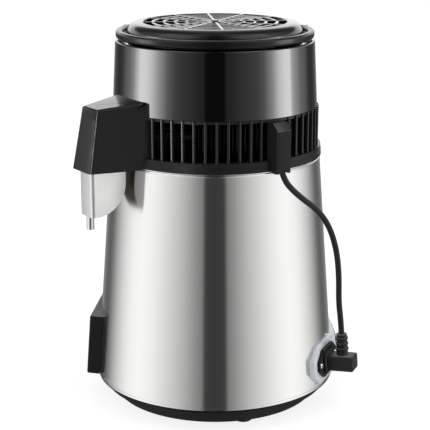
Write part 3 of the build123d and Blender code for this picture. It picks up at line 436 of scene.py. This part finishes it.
def bevelled(mesh, bevels, stop=0.0):
    """The mesh with the edges that each rule chooses bevelled, as far in as a radius about the axis."""
    def picked(chosen):
        return [edge for edge in shape.edges if len(edge.link_faces) == 2 and edge.is_convex and chosen(edge)]

    shape = shape_of(mesh)
    bmesh.ops.dissolve_limit(shape, angle_limit=math.radians(0.3), verts=shape.verts, edges=shape.edges)
    for chosen, width in bevels:
        for edge in picked(chosen):
            near, far = sorted(edge.verts, key=lambda vertex: reach(vertex.co))
            inner, outer = reach(near.co), reach(far.co)
            if inner < stop < outer:
                bmesh.utils.edge_split(edge, near, (stop - inner) / (outer - inner))
        edges = [edge for edge in picked(chosen) if min(reach(vertex.co) for vertex in edge.verts) > stop - stop_slack]
        bmesh.ops.bevel(shape, geom=edges, offset=width, offset_type="OFFSET", segments=4, profile=0.5,
                        affect="EDGES", clamp_overlap=width < clamped_bevel, loop_slide=True)
    return written(shape, mesh)


def dress(node, mesh=None, finish=None):
    """Skin that stands for a CAD node: its merged copy or another mesh, with even shading and a finish."""
    mesh = weigh_normals(mesh or copy_of(node), angle=32)
    mesh.materials.append(finishes[finish or slot_of_node[node]])
    return place(f"{node}_skin", mesh, body_of_node[node], slot_of_node[node], (node,))


def paint(piece, finish, chosen):
    """Second finish on the faces that a rule chooses, which on some pieces is painted shade."""
    piece.data.materials.append(finishes[finish])
    number = len(piece.data.materials) - 1
    for face in piece.data.polygons:
        if chosen(face.center, face.normal):
            face.material_index = number


# Repeated pieces, grown by Geometry Nodes
def sized_tree(name, sizes):
    """Geometry tree with named sizes, and its group input."""
    tree = bpy.data.node_groups.new(name, "GeometryNodeTree")
    kinds = {"Count": "NodeSocketInt", "Finish": "NodeSocketMaterial"}
    for label in sizes:
        tree.interface.new_socket(label, in_out="INPUT", socket_type=kinds.get(label.split()[-1], "NodeSocketFloat"))
    tree.interface.new_socket("Mesh", in_out="OUTPUT", socket_type="NodeSocketGeometry")
    return tree, tree.nodes.new("NodeGroupInput").outputs


def joined(tree, parts):
    """One geometry of several parts."""
    join = tree.nodes.new("GeometryNodeJoinGeometry")
    for part in parts:
        tree.links.new(part, join.inputs[0])
    return join.outputs[0]


def lifted(tree, part, height):
    """A part moved up."""
    return step(tree, "GeometryNodeTransform", {"Geometry": part, "Translation": vector(tree, z=height)})


def rounded_oblong(tree, width, height, corner):
    """Outline of an oblong with its corners taken off."""
    oblong = step(tree, "GeometryNodeCurvePrimitiveQuadrilateral", {"Width": width, "Height": height})
    return step(tree, "GeometryNodeFilletCurve", {"Curve": oblong, "Count": 2, "Radius": corner}, mode="POLY")


def slab(tree, outlines, thickness):
    """Closed slab of flat outlines, raised by its thickness."""
    foot = step(tree, "GeometryNodeFillCurve", {"Curve": joined(tree, outlines)}, mode="TRIANGLES")
    raised = step(tree, "GeometryNodeExtrudeMesh",
                  {"Mesh": foot, "Offset": vector(tree, z=thickness), "Offset Scale": 1.0, "Individual": False})
    under = step(tree, "GeometryNodeFlipFaces", {"Mesh": foot})
    both = joined(tree, (raised, under))
    return step(tree, "GeometryNodeMergeByDistance", {"Geometry": both, "Distance": slab_weld})


def round_row(tree, count, start, pitch, radius, z):
    """Points round the upright axis, and the turn and angle of each."""
    row = step(tree, "GeometryNodeMeshLine", {"Count": count, "Offset": (0.0, 0.0, 0.0)})
    angle = calc(tree, "MULTIPLY_ADD", step(tree, "GeometryNodeInputIndex"), pitch, start)
    turn = calc(tree, "RADIANS", angle)
    spot = vector(tree, calc(tree, "MULTIPLY", radius, calc(tree, "COSINE", turn)),
                  calc(tree, "MULTIPLY", radius, calc(tree, "SINE", turn)), z)
    return step(tree, "GeometryNodeSetPosition", {"Geometry": row, "Position": spot}), vector(tree, z=turn), angle


def end_tree(tree, parts, finish):
    """Join the parts of a tree, make them real and give them their finish."""
    real = step(tree, "GeometryNodeRealizeInstances", {"Geometry": joined(tree, parts)})
    done = step(tree, "GeometryNodeSetMaterial", {"Geometry": real, "Material": finish})
    tree.links.new(done, tree.nodes.new("NodeGroupOutput").inputs["Mesh"])


def grow(name, tree, sizes):
    """Plain closed mesh that a tree makes at the given sizes."""
    holder = held(name, bpy.data.meshes.new(name))
    maker = holder.modifiers.new(name, "NODES")
    maker.node_group = tree
    for socket in tree.interface.items_tree:
        if socket.in_out == "INPUT":
            maker[socket.identifier] = sizes[socket.name]
    mesh = evaluated(holder)
    mesh.name = name
    return written_outwards(shape_of(mesh), mesh)


def vent_slats():
    """Upright slats of the vented ring, left out behind the spout and the cord guard."""
    sizes = {"Slat Count": 60, "Start Angle": 3.0, "Pitch Angle": 6.0,
             "Middle Radius": bar_outer_radius - bar_depth / 2, "Foot Height": bar_foot_z - bar_sink,
             "Slat Height": vent_top_z - bar_foot_z + bar_sink, "Slat Depth": bar_depth,
             "Slat Thickness": bar_thickness, "Corner": 0.0010, "Spout Angle": -90.0, "Spout Clear": 15.0,
             "Guard Angle": 0.0, "Guard Clear": 5.0, "Finish": finishes["slat_black"]}
    tree, size = sized_tree("vent_slats", sizes)
    row, turn, angle = round_row(tree, size["Slat Count"], size["Start Angle"], size["Pitch Angle"],
                                 size["Middle Radius"], size["Foot Height"])
    outline = rounded_oblong(tree, size["Slat Depth"], size["Slat Thickness"], size["Corner"])
    slat = slab(tree, (outline,), size["Slat Height"])
    clear = []
    for part in ("Spout", "Guard"):
        apart = calc(tree, "SUBTRACT", angle, size[f"{part} Angle"])
        away = calc(tree, "ABSOLUTE", calc(tree, "WRAP", apart, 180.0, -180.0))
        clear.append(calc(tree, "GREATER_THAN", away, size[f"{part} Clear"]))
    kept = calc(tree, "MULTIPLY", *clear)
    slats = step(tree, "GeometryNodeInstanceOnPoints",
                 {"Points": row, "Selection": kept, "Instance": slat, "Rotation": turn})
    end_tree(tree, (slats,), size["Finish"])
    return grow("vent_slats", tree, sizes)


def condenser_fins():
    """Thin plate fins on the ring of the condenser tube, each with a hole that the tube goes through."""
    # The fins' dark metal is painted shade
    sizes = {"Fin Count": 120, "Start Angle": -45.9, "Pitch Angle": 2.5, "Ring Radius": tube_ring_radius,
             "Ring Height": tube_z, "Fin Width": 0.026, "Fin Height": 0.030, "Corner": 0.005,
             "Hole Radius": tube_radius, "Fin Thickness": 0.0006, "Finish": finishes["painted_shade_fin"]}
    tree, size = sized_tree("condenser_fins", sizes)
    row, turn, _ = round_row(tree, size["Fin Count"], size["Start Angle"], size["Pitch Angle"],
                             size["Ring Radius"], size["Ring Height"])
    outline = rounded_oblong(tree, size["Fin Width"], size["Fin Height"], size["Corner"])
    hole = step(tree, "GeometryNodeCurvePrimitiveCircle", {"Resolution": 16, "Radius": size["Hole Radius"]})
    plate = slab(tree, (outline, hole), size["Fin Thickness"])
    upright = step(tree, "GeometryNodeTransform", {"Geometry": plate, "Rotation": (math.pi / 2, 0.0, 0.0)})
    fins = step(tree, "GeometryNodeInstanceOnPoints", {"Points": row, "Instance": upright, "Rotation": turn})
    end_tree(tree, (fins,), size["Finish"])
    return grow("condenser_fins_stack", tree, sizes)


def grille():
    """Rings, spokes and hub of the fan grille."""
    sizes = {"Ring Count": 5, "First Ring": grille_first_ring, "Ring Pitch": grille_ring_pitch, "Ring Width": 0.0030,
             "Ring Thickness": grille_bar, "Corner": 0.0006, "Ring Height": cover_top_z - ring_drop,
             "Spoke Count": 12, "Spoke Start": -28.0, "Spoke Pitch": 30.0, "Spoke Width": 0.0024,
             "Spoke Reach": grille_radius + spoke_sink, "Spoke Height": cover_top_z - spoke_drop,
             "Hub Foot": cover_top_z - grille_thickness, "Hub Radius": 0.0060, "Hub Taper": 0.5,
             "Hub Height": grille_thickness + hub_rise, "Finish": finishes["grille_black"]}
    tree, size = sized_tree("grille", sizes)
    row = step(tree, "GeometryNodeMeshLine", {"Count": size["Ring Count"], "Offset": (0.0, 0.0, 0.0)})
    index = step(tree, "GeometryNodeInputIndex")
    ring_radius = calc(tree, "MULTIPLY_ADD", index, size["Ring Pitch"], size["First Ring"])
    loop = step(tree, "GeometryNodeCurvePrimitiveCircle", {"Resolution": 120, "Radius": 1.0})
    loops = step(tree, "GeometryNodeInstanceOnPoints",
                 {"Points": row, "Instance": loop, "Scale": vector(tree, ring_radius, ring_radius, 1.0)})
    ring_section = rounded_oblong(tree, size["Ring Width"], size["Ring Thickness"], size["Corner"])
    real_loops = step(tree, "GeometryNodeRealizeInstances", {"Geometry": loops})
    swept = step(tree, "GeometryNodeCurveToMesh", {"Curve": real_loops, "Profile Curve": ring_section})
    rings = lifted(tree, swept, size["Ring Height"])
    spots, turn, _ = round_row(tree, size["Spoke Count"], size["Spoke Start"], size["Spoke Pitch"], 0.0,
                               size["Spoke Height"])
    line = step(tree, "GeometryNodeCurvePrimitiveLine",
                {"Start": (0.0, 0.0, 0.0), "End": vector(tree, size["Spoke Reach"])})
    spoke_section = rounded_oblong(tree, size["Spoke Width"], size["Ring Thickness"], size["Corner"])
    spoke = step(tree, "GeometryNodeCurveToMesh", {"Curve": line, "Profile Curve": spoke_section, "Fill Caps": True})
    spokes = step(tree, "GeometryNodeInstanceOnPoints", {"Points": spots, "Instance": spoke, "Rotation": turn})
    cap = step(tree, "GeometryNodeMeshCone",
               {"Vertices": 48, "Radius Top": calc(tree, "MULTIPLY", size["Hub Radius"], size["Hub Taper"]),
                "Radius Bottom": size["Hub Radius"], "Depth": size["Hub Height"]})
    hub = lifted(tree, cap, size["Hub Foot"])
    end_tree(tree, (rings, spokes, hub), size["Finish"])
    return grow("fan_grille", tree, sizes)


def flange_screws():
    """Two pan-head screws with a cross recess, either side of a socket flange."""
    sizes = {"Screw Count": 2, "Offset": screw_offset, "Head Radius": 0.0026, "Head Height": 0.0011,
             "Head Taper": 0.72, "Recess Share": 1.1, "Recess Width": 0.0007, "Recess Depth": 0.0012,
             "Finish": finishes["screw_steel"]}
    tree, size = sized_tree("flange_screws", sizes)
    row = step(tree, "GeometryNodeMeshLine",
               {"Count": size["Screw Count"],
                "Start Location": vector(tree, calc(tree, "MULTIPLY", size["Offset"], -1.0)),
                "Offset": vector(tree, calc(tree, "MULTIPLY", size["Offset"], 2.0))})
    head = step(tree, "GeometryNodeMeshCone",
                {"Vertices": 28, "Radius Top": calc(tree, "MULTIPLY", size["Head Radius"], size["Head Taper"]),
                 "Radius Bottom": size["Head Radius"], "Depth": size["Head Height"]})
    long_side = calc(tree, "MULTIPLY", size["Head Radius"], size["Recess Share"])
    short_side = size["Recess Width"]
    arms = [step(tree, "GeometryNodeMeshCube", {"Size": vector(tree, x, y, size["Recess Depth"])})
            for x, y in ((long_side, short_side), (short_side, long_side))]
    raised = [lifted(tree, arm, size["Head Height"]) for arm in arms]
    cross = step(tree, "GeometryNodeMeshBoolean", {"Mesh 2": raised[0]}, operation="UNION", solver="EXACT")
    tree.links.new(raised[1], cross.node.inputs["Mesh 2"])
    screw = step(tree, "GeometryNodeMeshBoolean", {"Mesh 1": head, "Mesh 2": cross}, operation="DIFFERENCE",
                 solver="EXACT")
    screws = step(tree, "GeometryNodeInstanceOnPoints", {"Points": row, "Instance": screw})
    end_tree(tree, (screws,), size["Finish"])
    return grow("flange_screws", tree, sizes)


# Turned and swept pieces
def cover_shell():
    """Domed ring of the fan cover, turned from its section."""
    slope = math.atan2(cover_fall, cover_radius - grille_radius)
    middle_r = cover_radius - cover_shoulder
    middle_z = cover_top_z - (cover_shoulder + (middle_r - grille_radius) * math.sin(slope)) / math.cos(slope)
    top = math.pi / 2 - slope
    lip_z = cover_top_z - cover_lip - cover_lip * slope
    outline = [(cover_radius, housing_top_z),
               *arc(middle_r, middle_z, cover_shoulder, 0.0, top, steps=14),
               *arc(grille_radius + cover_lip, lip_z, cover_lip, top, math.pi, steps=4),
               (grille_radius, cover_top_z - grille_thickness),
               *arc(middle_r, middle_z, cover_shoulder - cover_wall, top, 0.0, steps=8),
               (cover_radius - cover_wall, housing_top_z)]
    return smooth(turned_solid("fan_cover_shell", outline, cover_segments), angle=40)


def drum():
    """Glossy upper drum with a rounded top edge and a flat deck, turned from its section."""
    outline = [(housing_foot_radius - housing_foot_edge, vent_top_z),
               (housing_foot_radius, vent_top_z + housing_foot_edge),
               *arc(housing_top_radius - housing_edge, housing_top_z - housing_edge, housing_edge, 0.0, math.pi / 2,
                    steps=6),
               (deck_hole_radius, housing_top_z),
               (deck_hole_radius, housing_top_z - housing_wall),
               (housing_top_radius - housing_wall, housing_top_z - housing_wall),
               (housing_foot_radius - housing_wall, vent_top_z)]
    return smooth(turned_solid("head_drum", outline, drum_segments), angle=35)


def drum_room():
    """Room that the drum takes in the spout's roof."""
    foot, top = housing_foot_radius + drum_spare, housing_top_radius + drum_spare
    low, high = vent_top_z - drum_room_over, housing_top_z + drum_room_over
    outline = [(drum_room_inner, low), (foot, low), (foot, vent_top_z), (top, housing_top_z), (top, high),
               (drum_room_inner, high)]
    return turned_solid("drum_room", outline, drum_segments)


def slat_room():
    """Room that the slats take in the vented ring, all round but for the spout."""
    inner, outer, step_in = slat_room_inner, slat_room_outer, housing_foot_radius + slat_room_spare
    low, high = bar_foot_z + slat_foot_gap, vent_top_z + slat_room_over
    under_ring = vent_top_z - top_ring_height - slat_top_gap
    outline = [(inner, low), (outer, low), (outer, high), (step_in, high), (step_in, under_ring), (inner, under_ring)]
    return turned_solid("slat_room", outline, slat_room_segments, -90 + spout_half_angle, 270 - spout_half_angle)


def lead():
    """Fan lead from the guard to its plug: a round tube along a smooth spline, and the points of its route."""
    route = bpy.data.curves.new("lead_route", "CURVE")
    route.dimensions = "3D"
    points = (cord_start, *cord_middle, cord_before_end, cord_end)
    spline = route.splines.new("NURBS")
    spline.points.add(len(points) - 1)
    for point, spot in zip(spline.points, points):
        point.co = (*spot, 1)
    spline.order_u = 3
    spline.use_endpoint_u = True
    spline.resolution_u = 8
    path = [vertex.co.copy() for vertex in evaluated(held("lead_route", route)).vertices]
    shape = bmesh.new()
    turns = [2 * math.pi * number / cord_sides for number in range(cord_sides)]
    side = Vector((1, 0, 0))
    rings = []
    for number, here in enumerate(path):
        along = (path[min(number + 1, len(path) - 1)] - path[max(number - 1, 0)]).normalized()
        side = (side - along * side.dot(along)).normalized()
        up = along.cross(side)
        rings.append([shape.verts.new(here + cord_radius * (side * math.cos(t) + up * math.sin(t))) for t in turns])
    skin(shape, rings, whole=False)
    mesh = smooth(written_outwards(shape, bpy.data.meshes.new("fan_lead")), angle=40)
    return place("fan_lead", mesh, None, "rubber_black", ("jumper_cord",)), path


def on_roof_rim(edge):
    """Edges round the spout's roof."""
    low_lift, high_lift = sorted(face.normal.z for face in edge.link_faces)
    spots = [vertex.co for vertex in edge.verts]
    in_front = all(spot.y < roof_rim_y and reach(spot) > roof_rim_radius for spot in spots)
    above_seam = all(spot.z > vent_top_z + roof_rim_rise for spot in spots)
    return high_lift > level_lift and low_lift < upright_lift and in_front and above_seam


def on_seam(edge):
    """Outer edges along the seam below the spout's roof."""
    spots = [vertex.co for vertex in edge.verts]
    level = max(abs(face.normal.z) for face in edge.link_faces) > level_lift
    at_seam = sum(abs(spot.z - vent_top_z) for spot in spots) < seam_slack
    outside = all(spot.y < seam_y and reach(spot) > housing_foot_radius - seam_inset for spot in spots)
    in_passage = all(abs(spot.x) < passage_half_width and spot.y > passage_front_y for spot in spots)
    return level and at_seam and outside and not in_passage


special = {"jumper_cord", "fan_cover", "condenser_fins", "vent_ring", "head_housing"}
# The condenser tube takes the pan's black as painted shade on steel inside the head
finish_of_node = {"spout_cup": "cup_steel", "base_pan": "pan_black_and_painted_shade", "condenser_tube": "pan_black_and_painted_shade",
                  # The fan motor's dark metal is painted shade
                  "carry_handle": "handle_black", "fan_rotor": "pan_black_and_painted_shade", "fan_motor": "painted_shade_fin"}
dressed = {node: dress(node, finish=finish_of_node.get(node)) for node in nodes if node not in special}
# Painted shade: the cup's back is darker steel, so that its reflection in the body shows dark
paint(dressed["spout_cup"], "painted_shade_steel", lambda centre, normal: normal.y > cup_painted_shade_y)
# Painted shade: the lid's top under the head is dull near-black
paint(dressed["lid_plate"], "painted_shade_black", lambda centre, normal: normal.z > lid_top_lift and centre.z > lid_painted_shade_z)

ring_mesh = cut(bevelled(copy_of("vent_ring"), ((on_seam, ring_seam_bevel),)), slat_room())
dressed["vent_ring"] = dress("vent_ring", ring_mesh)
roof_mesh = bevelled(cut(copy_of("head_housing"), drum_room()),
                     ((on_roof_rim, roof_bevel), (on_seam, roof_seam_bevel)), roof_bevel_stop)
dressed["head_housing"] = dress("head_housing", roof_mesh, "satin_black")
paint(dressed["head_housing"], "cover_black", lambda centre, normal: normal.z > roof_top_lift)
head_drum = place("head_drum", drum(), "head", slot_of_node["head_housing"], ("head_housing",))
# Painted shade: the drum's inside and underside are dull near-black
paint(head_drum, "painted_shade_black",
      lambda centre, normal: centre.xy.dot(normal.xy) < drum_inward or normal.z < drum_under_lift)

slats = place("vent_slats", smooth(vent_slats(), angle=40), "head", slot_of_node["vent_ring"], ("vent_ring",))
place("condenser_fins_stack", smooth(condenser_fins(), angle=30), "head", slot_of_node["condenser_fins"],
      ("condenser_fins",))
cover_mesh = cover_shell()
cover_mesh.materials.append(finishes["cover_black"])
cover = place("fan_cover_shell", cover_mesh, "head", slot_of_node["fan_cover"], ("fan_cover",))
fan_grille = place("fan_grille", smooth(grille(), angle=40), "head", slot_of_node["fan_cover"], ("fan_cover",))
screw_pair = smooth(flange_screws(), angle=35)
for name, angle in (("mains", mains_angle), ("fan_feed", fan_feed_angle)):
    pair = screw_pair.copy()
    pair.transform(wall_frame(angle, socket_z, flange_face - screw_sink))
    place(f"{name}_flange_screws", pair, "base", slot_of_node["mains_socket"])

fan_lead, lead_path = lead()
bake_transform(fan_lead)
for piece in (fan_lead, dressed["jumper_plug"], dressed["nozzle_tube"]):
    piece.visible_glossy = False


# Studio
def grey_ramp(tree, feed, stops):
    """Grey level for a feed from 0 to 1, between stops of positions and levels."""
    shade = step(tree, "ShaderNodeValToRGB", {"Fac": feed}, "Color")
    elements = shade.node.color_ramp.elements
    while len(elements) < len(stops):
        elements.new(0.5)
    for element, (position, level) in zip(elements, stops):
        element.position = position
        element.color = (level, level, level, 1)
    return shade


def end_in_mix(tree, share, first, second, ending):
    """End a tree in two shaders mixed by a share of the second."""
    mix = step(tree, "ShaderNodeMixShader", {"Fac": share, 1: first, 2: second})
    tree.links.new(mix, tree.nodes.new(ending).inputs["Surface"])


def studio_world():
    """White wall behind the object, and a ring of pale screens with a dark gap behind the camera."""
    world = bpy.data.worlds.new("studio")
    scene.world = world
    world.use_nodes = True
    tree = world.node_tree
    tree.nodes.clear()
    ray = step(tree, "ShaderNodeTexCoord", out="Generated")
    level = step(tree, "ShaderNodeVectorMath", {0: ray, 1: (1, 1, 0)}, operation="MULTIPLY")
    unit = step(tree, "ShaderNodeVectorMath", {0: level}, operation="NORMALIZE")
    to_camera = (math.cos(camera_side), math.sin(camera_side), 0)
    facing = step(tree, "ShaderNodeVectorMath", {0: unit, 1: to_camera}, "Value", operation="DOT_PRODUCT")
    round_share = step(tree, "ShaderNodeMapRange", {"Value": facing, "From Min": -1.0}, "Result")
    screens = grey_ramp(tree, round_share,
                        [((math.cos(math.radians(angle)) + 1) / 2, light) for angle, light in screen_levels])
    wall = grey_ramp(tree, step(tree, "ShaderNodeSeparateXYZ", {"Vector": ray}, "Z"), wall_levels)
    rear = step(tree, "ShaderNodeMapRange",
                {"Value": facing, "From Min": wall_facing_first, "From Max": wall_facing_full}, "Result")
    glossy_ray = step(tree, "ShaderNodeLightPath", out="Is Glossy Ray")
    behind = calc(tree, "MULTIPLY", glossy_ray, calc(tree, "MULTIPLY", rear, wall))
    light = mixed(tree, behind, screens, (wall_white, wall_white, wall_white, 1))
    shown = step(tree, "ShaderNodeBackground", {"Color": light})
    seen = step(tree, "ShaderNodeBackground", {"Color": (1, 1, 1, 1)})
    camera_ray = step(tree, "ShaderNodeLightPath", out="Is Camera Ray")
    end_in_mix(tree, camera_ray, shown, seen, "ShaderNodeOutputWorld")


def softbox(name, azimuth, elevation, distance, size, radiance, lit=None, fade=None, aim_z=lamp_aim_z):
    """Area lamp on a side of the object, counted from the camera's, that faces the object and may fade across."""
    lamp = bpy.data.lights.new(name, "AREA")
    lamp.shape = "RECTANGLE"
    lamp.size, lamp.size_y = size
    lamp.energy = radiance * math.pi * size[0] * size[1]
    holder = held(name, lamp)
    turn = camera_side + math.radians(azimuth)
    rise = math.radians(elevation)
    away = Vector((math.cos(turn) * math.cos(rise), math.sin(turn) * math.cos(rise), math.sin(rise)))
    holder.location = Vector((0, 0, aim_z)) + away * distance
    holder.rotation_euler = (-away).to_track_quat("-Z", "Y").to_euler()
    holder.visible_camera = False
    if fade:
        lamp.use_nodes = True
        tree = lamp.node_tree
        spot = step(tree, "ShaderNodeNewGeometry", out="Parametric")
        across = step(tree, "ShaderNodeSeparateXYZ", {"Vector": spot}, "X")
        tree.links.new(grey_ramp(tree, across, fade), tree.nodes["Emission"].inputs["Color"])
    if lit:
        group = bpy.data.collections.new(f"{name}_lit")
        for piece in lit:
            group.objects.link(piece)
        holder.light_linking.receiver_collection = group
    return holder


def panel_fade(levels, azimuth):
    """Ramp stops across a side panel for its share of light at angles from the camera's side."""
    stops = []
    for angle, light in levels:
        off_middle = math.tan(math.radians(angle - abs(azimuth)))
        share = 0.5 + off_middle / (2 * math.tan(math.radians(panel_half)))
        stops.append((1 - share if azimuth < 0 else share, light))
    return sorted(stops)


def floor():
    """Pale floor that keeps the object's shadow and shows white to the camera."""
    mesh = bpy.data.meshes.new("floor")
    corners = [(x * floor_half, y * floor_half, 0) for x, y in ((-1, -1), (1, -1), (1, 1), (-1, 1))]
    mesh.from_pydata(corners, [], [(0, 1, 2, 3)])
    material = bpy.data.materials.new("pale_floor")
    material.use_nodes = True
    tree = material.node_tree
    tree.nodes.clear()
    matt = step(tree, "ShaderNodeBsdfDiffuse", {"Color": (floor_tone, floor_tone, floor_tone, 1)})
    glow = step(tree, "ShaderNodeEmission", {"Color": (1, 1, 1, 1), "Strength": floor_glow})
    camera_ray = step(tree, "ShaderNodeLightPath", out="Is Camera Ray")
    share = calc(tree, "MULTIPLY", camera_ray, floor_glow_share)
    end_in_mix(tree, share, matt, glow, "ShaderNodeOutputMaterial")
    mesh.materials.append(material)
    piece = held("floor", mesh)
    piece.visible_glossy = False


def camera():
    """Camera at the photograph's place."""
    data = bpy.data.cameras.new("photo_camera")
    data.sensor_width = sensor_width
    data.lens = camera_lens
    holder = held("photo_camera", data)
    holder.location = polar(camera_distance, math.degrees(camera_side), camera_height)
    holder.rotation_euler = (math.pi / 2 - camera_pitch, 0, camera_side + math.pi / 2)
    scene.camera = holder


studio_world()
for name, azimuth in (("left_top_screen", -60), ("right_top_screen", 60)):
    softbox(name, azimuth, elevation=48, distance=1.6, size=(1.2, 0.9), radiance=1.1)
# The pieces linked to this lamp are the ones that it spares
back_screen = softbox("back_top_screen", 180, elevation=38, distance=1.5, size=(1.4, 0.8), radiance=1.6, lit=[cover])
for spared in back_screen.light_linking.receiver_collection.collection_objects:
    spared.light_linking.link_state = "EXCLUDE"
glossy = [head_drum, cover, fan_grille]
for name, azimuth, levels, lit in (("left_panel", -78, left_levels, glossy + [slats]),
                                   ("right_panel", 80, right_levels, glossy)):
    softbox(name, azimuth, elevation=0, distance=panel_distance, size=(panel_width, panel_height),
            radiance=panel_peak, lit=lit, fade=panel_fade(levels, azimuth), aim_z=head_aim_z)
edged = [dressed[node] for node in ("vent_ring", "head_housing", "cord_guard", "control_box")]
softbox("edge_strip", -30, elevation=10, distance=1.2, size=(0.24, 0.58), radiance=34.0, lit=edged, aim_z=head_aim_z)
handle_and_ring = [dressed["carry_handle"], dressed["vent_ring"]]
for name, azimuth in (("left_handle_strip", -84), ("right_handle_strip", 84)):
    softbox(name, azimuth, elevation=8, distance=1.2, size=(0.5, 0.5), radiance=6.0, lit=handle_and_ring)
softbox("rim_strip", 60, elevation=52, distance=1.4, size=(1.0, 0.3), radiance=14.0, lit=edged)
floor()
camera()
scene.view_settings.view_transform = "Standard"
